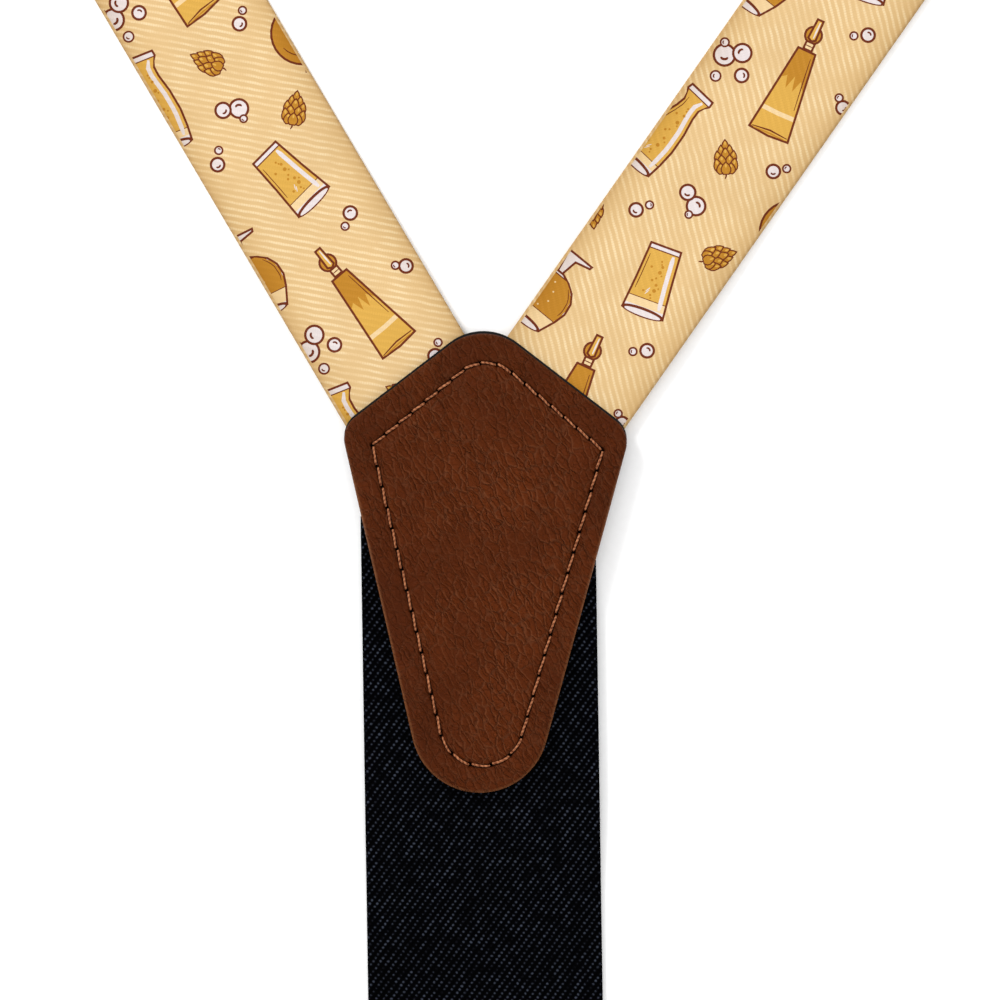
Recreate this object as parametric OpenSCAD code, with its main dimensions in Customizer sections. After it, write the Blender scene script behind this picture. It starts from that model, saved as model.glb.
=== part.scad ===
// Y-back suspenders, laid out flat with the back facing up.
// X runs across the wearer's back, +Y towards the shoulders and +Z away from the table.
// The origin is under the middle of the leather yoke, on the table. Millimetres and degrees.

/* [Straps] */
// Width of a printed front strap
strap_w = 25.4; // [24.4:0.2:26.4]
// Thickness of every strap, the elastic included
strap_t = 1.2; // [1.1:0.1:1.3]
// Width of the elastic back strap
back_w = 40; // [36:1:42]
// Distance from the yoke's middle to the bar of the back clip
back_length = 285; // [270:5:310]
// Distance along a front strap from the yoke to the bar of its clip
front_length = 690; // [680:5:720]

/* [Lay of the straps] */
// Lean of the left strap away from the spine line
left_angle = 30.5; // [29:0.5:33]
// Lean of the right strap away from the spine line
right_angle = 35; // [33:0.5:37]
// Radius of the turn that each front strap makes on its edge
turn_r = 46; // [42:1:52]
// Length over which a strap rolls from flat to its edge
roll_length = 84; // [76:2:92]
// Tilt of a strap where it stands on its edge
bank_max = 80; // [70:1:86]

/* [Yoke] */
// Thickness of the top leather
leather_t = 1.4; // [1.2:0.1:1.8]
// Thickness of the stiff underlay below the leather
underlay_t = 0.4; // [0.3:0.1:0.5]
// Thickness of the backing patch against the wearer
backing_t = 1.0; // [0.8:0.1:1.2]
// Length of one stitch
stitch_pitch = 3.4; // [3:0.1:4]

/* [Adjusters and clips] */
// Distance of an adjuster above its clip's bar
adjuster_y = 110; // [100:5:120]
// Length of a clip from its bar to its mouth
clip_length = 43; // [42:1:46]

/* [Hidden] */

// Colours
PRINT = [0.86, 0.72, 0.48];
ELASTIC = [0.05, 0.05, 0.07];
LEATHER = [0.34, 0.16, 0.07];
THREAD = [0.72, 0.45, 0.28];
NICKEL = [0.78, 0.77, 0.75];
PAD = [0.10, 0.10, 0.11];

// Sides: 0 is left, 1 is right
LEFT = 0;
RIGHT = 1;
turn_sense = [1, -1];                          // the left strap turns left, the right strap right
start_heading = [90 + left_angle, 90 - right_angle];
end_heading = [276, -96];                      // both run down, and slightly inwards
start_y = [7.5, 10.5];                         // where each strap's middle meets the spine line
straight_length = [116, 116];                  // flat run before the strap starts to roll

// Circles [x, y, radius] at the apex, right shoulder, foot and left shoulder: of the yoke's outline and of
// the seam sewn inside it
yoke_circles = [[-0.9, 29.1, 9.4], [19.2, 20.4, 4.5], [-0.3, -27.9, 11.7], [-19.9, 20.2, 4.5]];
seam_circles = [[-0.4, 27, 6.5], [19.25, 19, 0.3], [0, -27.9, 7.1], [-19.25, 19, 0.3]];
yoke_lean = -1.2;
thread_r = 0.28;
backing_inset = 0.6;
underlay_shift = 0.45;                         // the underlay shows as a dark line at the upper edges
straps_bottom_y = 8.2;                         // the front straps end here, against the elastic
layer_gap = 0.05;                              // between layers that lie on each other

// Back strap frame
back_x = -1.1;
back_lean = 0.9;

// Webbing where it turns round a bar
bar_r = 1.1;
bar_gap = 0.1;
loop_z = strap_t + bar_r + bar_gap;            // height of a clip's bar
deck_z = loop_z + bar_r + bar_gap;             // underside of the strap's upper layer
loop_reach = 12;                               // how far a loop node runs up from its bar
drop_length = 40;                              // over which a strap comes down to the table
back_fold = 28;                                // length of elastic folded back and sewn

// Adjuster, measured from its middle
wall_t = 1.2;
wall_gap = 0.6;
tail_bar_y = -4;
tail_bar_half = 1.6;
tail_bar_t = 0.8;
tail_bar_gap = 0.1;
tail_bar_z = strap_t + tail_bar_gap + tail_bar_t / 2;
adjuster_pin_y = 4.5;
adjuster_pin_r = 0.8;
cam_r = 1.75;
adjuster_pin_z = deck_z + strap_t + 0.15 + cam_r;
cover_z = adjuster_pin_z + cam_r + 0.1;
cover_t = 0.9;
running_gap = 0.05;                            // radial, between a pin and its hole
panel_depth = 0.25;                            // of the panel pressed into a cover or a lever
panel_r = 0.9;

// Clip, measured from its bar
clip_extra = 6;                                // a clip is this much wider than its strap
sheet = 1.0;                                   // sheet metal thickness
flange_t = 1.2;
floor_gap = 0.2;
flange_z = 3.9;
pivot_y = -17;
pivot_z = 6.6;
pivot_r = 1.0;
ear_r = 2.2;
jaw_pin_y = -7;
jaw_pin_z = 2.7;
jaw_pin_r = 0.8;
knuckle_r = 1.35;
jaw_t = 0.9;
jaw_tilt = 2.5;
lever_tilt = 4;
lever_lift = 2.4;                              // from the pivot to the underside of the lever's plate
nose_r = 0.9;
nose_drop = 1.7;
lug_t = 1.1;
pad_length = 6;
pad_t = 0.85;
tooth_h = 0.25;
tooth_count = 5;

$fn = 48;

// ---------- Route of a front strap ----------

function clamp01(u) = max(0, min(1, u));
function smooth(u) = u * u * (3 - 2 * u);
function smooth_area(u) = u * u * u - u * u * u * u / 2;   // area under smooth() from 0 to u

function turn(side) = abs(end_heading[side] - start_heading[side]);
function edge_length(side) = turn(side) * PI / 180 * turn_r - roll_length;
function roll_start(side) = straight_length[side];
function edge_start(side) = roll_start(side) + roll_length;
function edge_end(side) = edge_start(side) + edge_length(side);
function unroll_end(side) = edge_end(side) + roll_length;

// Share of the full bank at a distance s along the strap, from 0 when flat to 1 on its edge
function bank_share(side, s) =
    smooth(clamp01((s - roll_start(side)) / roll_length))
    - smooth(clamp01((s - edge_end(side)) / roll_length));

// The same share added up along the strap, in millimetres
function bank_sum(side, s) =
    roll_length * smooth_area(clamp01((s - roll_start(side)) / roll_length))
    + max(0, s - edge_start(side))
    - roll_length * smooth_area(clamp01((s - edge_end(side)) / roll_length))
    - max(0, s - unroll_end(side));

function heading(side, s) =
    start_heading[side] + turn_sense[side] * bank_sum(side, s) / turn_r * 180 / PI;

walk_step = 2;
function walk(side) = [
    for (s = 0, x = 0, y = start_y[side]; s <= front_length + walk_step;
         x = x + walk_step * cos(heading(side, s + walk_step / 2)),
         y = y + walk_step * sin(heading(side, s + walk_step / 2)),
         s = s + walk_step)
    [s, x, y]
];
walks = [walk(LEFT), walk(RIGHT)];
walk_x = [for (side = [LEFT, RIGHT]) [for (p = walks[side]) [p[0], p[1]]]];
walk_y = [for (side = [LEFT, RIGHT]) [for (p = walks[side]) [p[0], p[2]]]];

function place(side, s) = s < 0
    ? [s * cos(start_heading[side]), start_y[side] + s * sin(start_heading[side])]
    : [lookup(s, walk_x[side]), lookup(s, walk_y[side])];

// Height of a front strap's underside: on the backing, on the table, then on the clip's bar
yoke_exit = 34;
function rise_start() = front_length - adjuster_y - 150;
function underside(s) =
    backing_t * (1 - smooth(clamp01((s - yoke_exit) / drop_length)))
    + deck_z * smooth(clamp01((s - rise_start()) / drop_length));

function ring(side, s) = let (
        bank = bank_max * bank_share(side, s),
        h = heading(side, s),
        inner = turn_sense[side] * [-sin(h), cos(h), 0],
        across = cos(bank) * inner + [0, 0, sin(bank)],
        out = [0, 0, cos(bank)] - sin(bank) * inner,
        p = place(side, s),
        mid = [p[0], p[1], underside(s) + strap_w / 2 * sin(bank) + strap_t / 2 * cos(bank)]
    )
    [for (c = [[1, 1], [-1, 1], [-1, -1], [1, -1]]) mid + c[0] * strap_w / 2 * across + c[1] * strap_t / 2 * out];

strap_start = -28;                             // before the mitre cut
function stations(side) = concat(
    [strap_start, yoke_exit],
    [for (i = [1:5]) yoke_exit + i * drop_length / 5],
    [for (i = [0:12]) roll_start(side) + i * roll_length / 12],
    [for (i = [1:5]) edge_start(side) + i * edge_length(side) / 5],
    [for (i = [1:12]) edge_end(side) + i * roll_length / 12],
    [for (i = [0:5]) rise_start() + i * drop_length / 5],
    [front_length - loop_reach]
);

// A solid through four-cornered rings. Its two broad faces are split along the same diagonals, so that
// a twisted strap keeps its thickness
module swept(rings) {
    last = len(rings) - 1;
    polyhedron(
        points = [for (r = rings) each r],
        faces = concat(
            [[0, 2, 1], [0, 3, 2]],
            [for (i = [0:last - 1]) for (k = [0:3]) each let (a = 4 * i + k, b = 4 * i + (k + 1) % 4)
                k == 2 ? [[a, b, a + 4], [b, b + 4, a + 4]] : [[a, b, b + 4], [a, b + 4, a + 4]]],
            [[4 * last, 4 * last + 1, 4 * last + 2], [4 * last, 4 * last + 2, 4 * last + 3]]
        )
    );
}

module flipped_if(condition) {
    if (condition) mirror([1, 0, 0]) children();
    else children();
}

// Rings of the right strap run the other way round, so their order is reversed
function oriented(side, r) = side == LEFT ? [r[1], r[0], r[3], r[2]] : r;

// A front strap, mitred on the spine line and cut square above the elastic
module front_strap(side) {
    color(PRINT) difference() {
        swept([for (s = stations(side)) oriented(side, ring(side, s))]);
        translate([side == LEFT ? -layer_gap : layer_gap - 60, -40, -5]) cube([60, 90, 20]);
        translate([-60, straps_bottom_y - 60, -5]) cube([120, 60, 20]);
    }
}

// ---------- Frames in which the fittings are drawn ----------

// The end of a front strap: the origin is on the table under the clip's bar, and +Y runs back up the strap
module at_end(side) {
    p = place(side, front_length);
    translate([p[0], p[1], 0]) rotate([0, 0, end_heading[side] - 270]) children();
}

module at_adjuster(side) {
    at_end(side) translate([0, adjuster_y, 0]) children();
}

module at_back_frame() {
    translate([back_x, 0, 0]) rotate([0, 0, back_lean]) children();
}

module at_back() {
    at_back_frame() translate([0, -back_length, 0]) children();
}

module at_yoke(z) {
    rotate([0, 0, yoke_lean]) translate([0, 0, z]) children();
}

// A profile drawn with Y across the page and Z up it, extruded sideways by width about the middle
module across(width) {
    rotate([90, 0, 90]) translate([0, 0, -width / 2]) linear_extrude(width) children();
}

// A rod across the part, at a place given as [y, z]
module cross_rod(at, r, width) {
    translate([0, at[0], at[1]]) rotate([0, 90, 0]) cylinder(r = r, h = width, center = true);
}

// ---------- Webbing loops and tails ----------

// Half ring of webbing round a clip's bar
module bar_wrap() {
    translate([0, loop_z]) difference() {
        circle(r = bar_r + bar_gap + strap_t);
        circle(r = bar_r + bar_gap);
        translate([0, -10]) square([20, 20]);
    }
}

module strap_loop(side) {
    color(PRINT) at_end(side) across(strap_w) {
        bar_wrap();
        translate([-0.01, deck_z]) square([loop_reach, strap_t]);
        translate([-0.01, 0]) square([loop_reach, strap_t]);
    }
}

// The free end: back along the table, round the adjuster's tail bar and sewn to itself
module strap_tail(side) {
    bar_y = adjuster_y + tail_bar_y;
    wrap_y = bar_y + tail_bar_half;
    wrap_r = tail_bar_t / 2 + tail_bar_gap;
    top = tail_bar_z + wrap_r;
    sewn_top = strap_t + layer_gap;
    color(PRINT) at_end(side) across(strap_w) {
        translate([loop_reach, 0]) square([wrap_y - loop_reach, strap_t]);
        translate([wrap_y, tail_bar_z]) difference() {
            circle(r = wrap_r + strap_t);
            circle(r = wrap_r);
            translate([-20, -10]) square([20, 20]);
        }
        polygon([
            [wrap_y, top], [wrap_y, top + strap_t],
            [bar_y - tail_bar_half, top + strap_t], [bar_y - 6, sewn_top + strap_t],
            [bar_y - 15, sewn_top + strap_t], [bar_y - 15, sewn_top],
            [bar_y - 6, sewn_top], [bar_y - tail_bar_half, top]
        ]);
    }
}

// Height of the elastic's underside at a distance above the back clip's bar
function elastic_underside(y) =
    y > back_length - 60
        ? backing_t * smooth(clamp01((y - (back_length - 60)) / 22))
        : y > back_fold
            ? (strap_t + layer_gap) * (1 - smooth(clamp01((y - back_fold - 2) / 26)))
            : strap_t + layer_gap + (deck_z - strap_t - layer_gap) * (1 - smooth(clamp01((y - 3) / 12)));

module elastic_profile(heights) {
    polygon(concat(
        [for (y = heights) [y, elastic_underside(y)]],
        [for (i = [len(heights) - 1:-1:0]) [heights[i], elastic_underside(heights[i]) + strap_t]]
    ));
}

module back_strap() {
    top_y = back_length + straps_bottom_y - 0.5;
    color(ELASTIC) at_back() across(back_w) elastic_profile(concat(
        [for (i = [0:8]) back_fold + 2 + i * 3.25],
        [for (i = [0:6]) back_length - 60 + i * 22 / 6],
        [top_y]
    ));
}

module back_strap_loop() {
    color(ELASTIC) at_back() across(back_w) {
        bar_wrap();
        elastic_profile([-0.01, 3, 5, 7, 9, 11, 13, 15, back_fold, back_fold + 2 - layer_gap]);
        translate([-0.01, 0]) square([back_fold, strap_t]);
    }
}

// Two rows of thread across the sewn fold of the elastic
module back_bartack() {
    top = 2 * strap_t + layer_gap + 0.02;
    rows = [19, 25];
    count = 10;
    pitch = (back_w - 6) / count;
    color(ELASTIC) at_back()
        for (y = rows)
            for (i = [0:count - 1])
                translate([(i + 0.5) * pitch - (back_w - 6) / 2, y, top + thread_r])
                    rotate([0, 90, 0]) cylinder(r = thread_r, h = pitch - 0.7, center = true, $fn = 16);
}

// ---------- Yoke ----------

// Unit normal of the line that touches circles a and b on their outer side
function touching_normal(a, b) = let (
        d = [b[0] - a[0], b[1] - a[1]],
        far = norm(d),
        spread = asin((a[2] - b[2]) / far),
        along = atan2(d[1], d[0])
    )
    [cos(along + 90 - spread), sin(along + 90 - spread)];

// The band round four circles, moved inwards by inset, with each round corner in this many steps
function band_points(circles, inset, steps) = [
    for (i = [0:3]) let (
        c = circles[i],
        r = c[2] - inset,
        before = touching_normal(circles[(i + 3) % 4], c),
        after = touching_normal(c, circles[(i + 1) % 4]),
        a = atan2(before[1], before[0]),
        sweep = (atan2(after[1], after[0]) - a - 360) % 360
    )
    for (k = [0:steps]) [c[0] + r * cos(a + sweep * k / steps), c[1] + r * sin(a + sweep * k / steps)]
];

module yoke_outline(inset) {
    polygon(band_points(yoke_circles, inset, 14));
}

yoke_straps_top = backing_t + strap_t;

module yoke_backing() {
    color(LEATHER) at_yoke(0) linear_extrude(backing_t - layer_gap) yoke_outline(backing_inset);
}

module yoke_underlay() {
    color(ELASTIC) at_yoke(yoke_straps_top + layer_gap) translate([0, underlay_shift, 0])
        linear_extrude(underlay_t - layer_gap) yoke_outline(0);
}

module yoke_leather() {
    color(LEATHER) at_yoke(yoke_straps_top + underlay_t + layer_gap)
        linear_extrude(leather_t) yoke_outline(0);
}

// Distance of each point from the first, along a line of points
function added_up(points) = [
    for (i = 0, far = 0; i < len(points);
         far = far + (i + 1 < len(points) ? norm(points[i + 1] - points[i]) : 0), i = i + 1) far
];

module yoke_stitching() {
    open_line = band_points(seam_circles, 0, 8);
    line = concat(open_line, [open_line[0]]);
    far = added_up(line);
    total = far[len(far) - 1];
    count = round(total / stitch_pitch);
    xs = [for (i = [0:len(line) - 1]) [far[i], line[i][0]]];
    ys = [for (i = [0:len(line) - 1]) [far[i], line[i][1]]];
    hole = 0.35;                               // half of the gap between two stitches
    z = yoke_straps_top + underlay_t + layer_gap + leather_t + thread_r + 0.02;
    color(THREAD) at_yoke(z)
        for (i = [0:count - 1]) {
            a = [lookup(i * total / count, xs), lookup(i * total / count, ys)];
            b = [lookup((i + 1) * total / count, xs), lookup((i + 1) * total / count, ys)];
            d = b - a;
            translate([(a[0] + b[0]) / 2, (a[1] + b[1]) / 2, 0])
                rotate([0, 90, atan2(d[1], d[0])])
                    cylinder(r = thread_r, h = norm(d) - 2 * hole, center = true, $fn = 16);
        }
}

// ---------- Adjuster ----------

wall_x = strap_w / 2 + wall_gap;               // inner face of an adjuster's wall

module adjuster_wall() {
    difference() {
        union() {
            polygon([
                [-7, 0.6], [6.2, 0.6], [6.2, adjuster_pin_z], [2.8, adjuster_pin_z],
                [-1, adjuster_pin_z - 1.2], [-7, adjuster_pin_z - 1.2]
            ]);
            translate([adjuster_pin_y, adjuster_pin_z]) circle(r = cam_r - 0.05);
        }
        translate([adjuster_pin_y, adjuster_pin_z]) circle(r = adjuster_pin_r + running_gap);
    }
}

module adjuster_frame(side) {
    color(NICKEL) at_adjuster(side) {
        for (x = [-1, 1])
            translate([x * (wall_x + wall_t / 2), 0, 0]) across(wall_t) adjuster_wall();
        translate([0, tail_bar_y, tail_bar_z])
            cube([2 * wall_x + 0.2, 2 * tail_bar_half, tail_bar_t], center = true);
        translate([-wall_x - 0.1, 1.5, deck_z - 1.0]) cube([2 * wall_x + 0.2, 4.5, 0.9]);
    }
}

module adjuster_pin(side) {
    head_r = adjuster_pin_r + 0.5;
    head_t = 0.5;
    width = 2 * (wall_x + wall_t + 0.05);
    color(NICKEL) at_adjuster(side) {
        cross_rod([adjuster_pin_y, adjuster_pin_z], adjuster_pin_r, width + 0.2);
        for (x = [-1, 1])
            translate([x * (width / 2 + head_t / 2), adjuster_pin_y, adjuster_pin_z])
                rotate([0, 90, 0]) cylinder(r = head_r, h = head_t, center = true);
    }
}

// The cover plate and the toothed cam below it, which pinches the strap when the plate is down
module adjuster_lever(side) {
    cam_w = 2 * (wall_x - 0.15);
    cover_w = 2 * (wall_x + wall_t + 0.8);
    back_y = adjuster_pin_y + 1.1;
    front_y = -9;
    corner = 1.6;
    color(NICKEL) at_adjuster(side) difference() {
        union() {
            cross_rod([adjuster_pin_y, adjuster_pin_z], cam_r, cam_w);
            translate([-cam_w / 2, adjuster_pin_y - 1.1, adjuster_pin_z])
                cube([cam_w, 2.2, cam_r + 0.2]);
            translate([0, 0, cover_z]) difference() {
                linear_extrude(cover_t) rounded(cover_w, front_y, back_y, corner);
                translate([0, 0, cover_t - panel_depth])
                    linear_extrude(1) rounded(cover_w - 5, front_y + 2.6, back_y - 2.2, panel_r);
            }
            cross_rod([front_y + 0.5, cover_z + 0.1], 0.6, cover_w - 2 * corner);
        }
        cross_rod([adjuster_pin_y, adjuster_pin_z], adjuster_pin_r + running_gap, cam_w + 2);
    }
}

// A rectangle of width w from y0 to y1 with round corners
module rounded(w, y0, y1, r) {
    translate([-w / 2 + r, y0]) square([w - 2 * r, y1 - y0]);
    translate([-w / 2, y0 + r]) square([w, y1 - y0 - 2 * r]);
    for (x = [-1, 1])
        for (y = [y0 + r, y1 - r])
            translate([x * (w / 2 - r), y]) circle(r = r);
}

// ---------- Clip: each module takes the width of its strap ----------

function half_clip(w) = (w + clip_extra) / 2;
function jaw_half(w) = half_clip(w) - flange_t - 0.2 - lug_t - 0.5;

module clip_flange() {
    difference() {
        union() {
            translate([-24, floor_gap]) square([24, flange_z - floor_gap]);
            translate([0, loop_z]) circle(r = loop_z - floor_gap);
            translate([pivot_y - ear_r, floor_gap]) square([2 * ear_r, pivot_z - floor_gap]);
            translate([pivot_y, pivot_z]) circle(r = ear_r);
        }
        translate([pivot_y, pivot_z]) circle(r = pivot_r + running_gap);
        translate([jaw_pin_y, jaw_pin_z]) circle(r = jaw_pin_r + running_gap);
    }
}

module clip_base(w) {
    half = half_clip(w);
    color(NICKEL) {
        translate([0, 0, floor_gap]) linear_extrude(sheet) rounded(2 * half, -clip_length, -4, 1.5);
        for (x = [-1, 1]) translate([x * (half - flange_t / 2), 0, 0]) across(flange_t) clip_flange();
        cross_rod([0, loop_z], bar_r, 2 * half - flange_t);
    }
}

module clip_rivets(w) {
    half = half_clip(w);
    inner = half - flange_t - lug_t - 0.4;
    color(NICKEL) for (x = [-1, 1]) {
        translate([x * (inner + half + 0.1) / 2, pivot_y, pivot_z])
            rotate([0, 90, 0]) cylinder(r = pivot_r, h = half + 0.1 - inner, center = true);
        translate([x * (half + 0.35), pivot_y, pivot_z])
            rotate([0, 90, 0]) cylinder(r = pivot_r + 0.7, h = 0.6, center = true);
    }
}

module clip_jaw_pin(w) {
    color(NICKEL) cross_rod([jaw_pin_y, jaw_pin_z], jaw_pin_r, 2 * half_clip(w));
}

// One half of the toothed grip: ridges of plastic on a flat pad that starts at z = 0
module grip_pad(width) {
    pitch = pad_length / tooth_count;
    across(width) polygon(concat(
        [[0, 0], [0, pad_t]],
        [for (i = [0:tooth_count - 1]) each [[-(i + 0.5) * pitch, pad_t + tooth_h], [-(i + 1) * pitch, pad_t]]],
        [[-pad_length, 0]]
    ));
}

module clip_lower_pad(w) {
    color(PAD) translate([0, -clip_length + pad_length, floor_gap + sheet + 0.01])
        grip_pad(2 * jaw_half(w));
}

module at_jaw() {
    translate([0, jaw_pin_y, jaw_pin_z]) rotate([-jaw_tilt, 0, 0]) children();
}

jaw_reach = clip_length + jaw_pin_y;

module clip_jaw(w) {
    width = 2 * jaw_half(w);
    color(NICKEL) difference() {
        union() {
            cross_rod([jaw_pin_y, jaw_pin_z], knuckle_r, width);
            at_jaw() translate([0, 0, -jaw_t / 2]) linear_extrude(jaw_t) rounded(width, -jaw_reach, 0, 1);
        }
        cross_rod([jaw_pin_y, jaw_pin_z], jaw_pin_r + running_gap, width + 2);
    }
}

module clip_upper_pad(w) {
    color(PAD) at_jaw() translate([0, -jaw_reach + pad_length, -jaw_t / 2 - 0.01])
        mirror([0, 0, 1]) grip_pad(2 * jaw_half(w));
}

module clip_lever(w) {
    half = half_clip(w);
    lug_x = half - flange_t - 0.2 - lug_t / 2;
    reach = clip_length + pivot_y + 3;
    color(NICKEL) difference() {
        union() {
            for (x = [-1, 1]) translate([x * lug_x, 0, 0]) across(lug_t) {
                translate([pivot_y, pivot_z]) circle(r = ear_r);
                polygon([
                    [pivot_y - ear_r, pivot_z], [pivot_y + ear_r, pivot_z],
                    [pivot_y + ear_r, pivot_z + lever_lift + 0.4],
                    [pivot_y - ear_r, pivot_z + lever_lift + 0.1]
                ]);
            }
            cross_rod([pivot_y, pivot_z - nose_drop], nose_r, 2 * lug_x + lug_t);
            translate([0, pivot_y, pivot_z + lever_lift]) rotate([lever_tilt, 0, 0]) {
                difference() {
                    linear_extrude(sheet) rounded(2 * half, -reach, ear_r - 0.7, 1.4);
                    translate([0, 0, sheet - panel_depth])
                        linear_extrude(1) rounded(2 * half - 5, -reach + 3, ear_r - 3, panel_r);
                }
                cross_rod([-reach + 0.5, sheet / 2 - 0.1], 0.75, 2 * half - 3);
            }
        }
        for (x = [-1, 1]) translate([x * lug_x, pivot_y, pivot_z])
            rotate([0, 90, 0]) cylinder(r = pivot_r + running_gap, h = lug_t + 1, center = true);
    }
}

yoke_leather();
yoke_underlay();
yoke_backing();
yoke_stitching();

front_strap(LEFT);  // front_strap_left
strap_loop(LEFT);  // strap_loop_left
strap_tail(LEFT);  // strap_tail_left
adjuster_frame(LEFT);  // adjuster_frame_left
adjuster_pin(LEFT);  // adjuster_pin_left
adjuster_lever(LEFT);  // adjuster_lever_left
at_end(LEFT) clip_base(strap_w);  // clip_base_left
at_end(LEFT) clip_rivets(strap_w);  // clip_rivets_left
at_end(LEFT) clip_jaw_pin(strap_w);  // clip_jaw_pin_left
at_end(LEFT) clip_lower_pad(strap_w);  // clip_lower_pad_left
at_end(LEFT) clip_lever(strap_w);  // clip_lever_left
at_end(LEFT) clip_jaw(strap_w);  // clip_jaw_left
at_end(LEFT) clip_upper_pad(strap_w);  // clip_upper_pad_left

front_strap(RIGHT);  // front_strap_right
strap_loop(RIGHT);  // strap_loop_right
strap_tail(RIGHT);  // strap_tail_right
adjuster_frame(RIGHT);  // adjuster_frame_right
adjuster_pin(RIGHT);  // adjuster_pin_right
adjuster_lever(RIGHT);  // adjuster_lever_right
at_end(RIGHT) clip_base(strap_w);  // clip_base_right
at_end(RIGHT) clip_rivets(strap_w);  // clip_rivets_right
at_end(RIGHT) clip_jaw_pin(strap_w);  // clip_jaw_pin_right
at_end(RIGHT) clip_lower_pad(strap_w);  // clip_lower_pad_right
at_end(RIGHT) clip_lever(strap_w);  // clip_lever_right
at_end(RIGHT) clip_jaw(strap_w);  // clip_jaw_right
at_end(RIGHT) clip_upper_pad(strap_w);  // clip_upper_pad_right

back_strap();
back_strap_loop();
back_bartack();
at_back() clip_base(back_w);  // clip_base_back
at_back() clip_rivets(back_w);  // clip_rivets_back
at_back() clip_jaw_pin(back_w);  // clip_jaw_pin_back
at_back() clip_lower_pad(back_w);  // clip_lower_pad_back
at_back() clip_lever(back_w);  // clip_lever_back
at_back() clip_jaw(back_w);  // clip_jaw_back
at_back() clip_upper_pad(back_w);  // clip_upper_pad_back
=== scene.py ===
"""Y-back suspenders laid out flat, back up, seen from straight above.

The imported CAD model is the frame. Webbing, leather, thread and print are built here on the same
lay as the CAD source. Lengths are in millimetres until a mesh is made.
"""

import math

import bpy
import numpy as np
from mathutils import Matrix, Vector
from mathutils.geometry import delaunay_2d_cdt


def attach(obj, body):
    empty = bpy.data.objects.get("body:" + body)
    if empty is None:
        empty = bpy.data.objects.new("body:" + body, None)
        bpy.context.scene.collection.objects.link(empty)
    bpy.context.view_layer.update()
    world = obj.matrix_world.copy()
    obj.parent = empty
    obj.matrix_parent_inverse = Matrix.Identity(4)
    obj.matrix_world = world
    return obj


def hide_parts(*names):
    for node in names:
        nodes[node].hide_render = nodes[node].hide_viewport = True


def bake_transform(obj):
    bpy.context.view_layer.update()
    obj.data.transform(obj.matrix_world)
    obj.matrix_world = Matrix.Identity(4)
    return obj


MM = 0.001

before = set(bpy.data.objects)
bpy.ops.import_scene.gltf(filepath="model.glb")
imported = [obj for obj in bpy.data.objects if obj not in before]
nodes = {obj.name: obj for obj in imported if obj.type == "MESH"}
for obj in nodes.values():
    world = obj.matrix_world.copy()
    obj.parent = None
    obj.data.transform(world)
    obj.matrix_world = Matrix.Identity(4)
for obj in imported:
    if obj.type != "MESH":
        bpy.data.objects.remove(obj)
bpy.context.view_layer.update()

# ---------- The lay, as in the CAD source ----------

STRAP_W, STRAP_T = 25.4, 1.2
ELASTIC_W = 40.0
FRONT_LENGTH, BACK_LENGTH = 690.0, 285.0
TURN_R, ROLL_LENGTH, BANK_MAX = 46.0, 84.0, math.radians(80)
STRAIGHT_LENGTH = 116.0
BACKING_T, UNDERLAY_T, LEATHER_T, LAYER_GAP = 1.0, 0.4, 1.4, 0.05
DROP_LENGTH, YOKE_EXIT = 40.0, 34.0
ADJUSTER_Y = 110.0
BAR_R, BAR_GAP = 1.1, 0.1
LOOP_Z = STRAP_T + BAR_R + BAR_GAP
DECK_Z = LOOP_Z + BAR_R + BAR_GAP
TAIL_BAR_Y, TAIL_BAR_HALF, TAIL_BAR_T = -4.0, 1.6, 0.8
RISE_AWAY = 150.0       # a front strap begins to rise over its doubled run this far above the adjuster
BAR_APPROACH = 14.0     # and comes straight to its clip's bar over this length
LOOP_REACH = 12.0       # its loop ends this far beyond the turn round the bar
BACK_FOLD = 28.0
BACK_TOP = 7.7          # the elastic's top end lies this far above the yoke's middle
BACK_X, BACK_LEAN = -1.1, math.radians(0.9)
YOKE_LEAN = math.radians(-1.2)
# Each front strap: the sense it turns in, its headings at the yoke and at the clip in degrees, its height
# on the spine line, how far from that line its webbing begins, and where its print lies along and across it
SIDES = {
    "left": {"sense": 1, "start": 120.5, "end": 276.0, "y": 7.5, "first": 22.0, "print": (19.7, 1.1)},
    "right": {"sense": -1, "start": 55.0, "end": -96.0, "y": 10.5, "first": 19.0, "print": (0.0, -0.7)},
}


def smooth(u):
    u = np.clip(u, 0, 1)
    return u * u * (3 - 2 * u)


def smooth_area(u):
    """Area under smooth() from 0 to u, going on at full height beyond 1."""
    inside = np.clip(u, 0, 1)
    return inside**3 - inside**4 / 2 + np.maximum(u - 1, 0)


def unit(vectors):
    """Vectors of length 1 in the same directions."""
    return vectors / np.linalg.norm(vectors, axis=1)[:, None]


def pointing(angle):
    """Directions in the plane at these angles."""
    return np.stack([np.cos(angle), np.sin(angle)], axis=1)


def far_along(points):
    """Each point's distance along a line from the first."""
    return np.concatenate([[0], np.cumsum(np.linalg.norm(np.diff(points, axis=0), axis=1))])


class Path:
    """A strap's middle line, sampled: its distance s, its place, the direction across it to the left of
    its travel, and the direction out of its printed face."""

    def __init__(self, s, place, across, out):
        self.s, self.place, self.across, self.out = s, place, across, out

    def at(self, s):
        def pick(table):
            return np.stack([np.interp(s, self.s, table[:, i]) for i in range(3)], axis=1)

        across, out = pick(self.across), pick(self.out)
        return pick(self.place), unit(across), unit(out)


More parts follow.
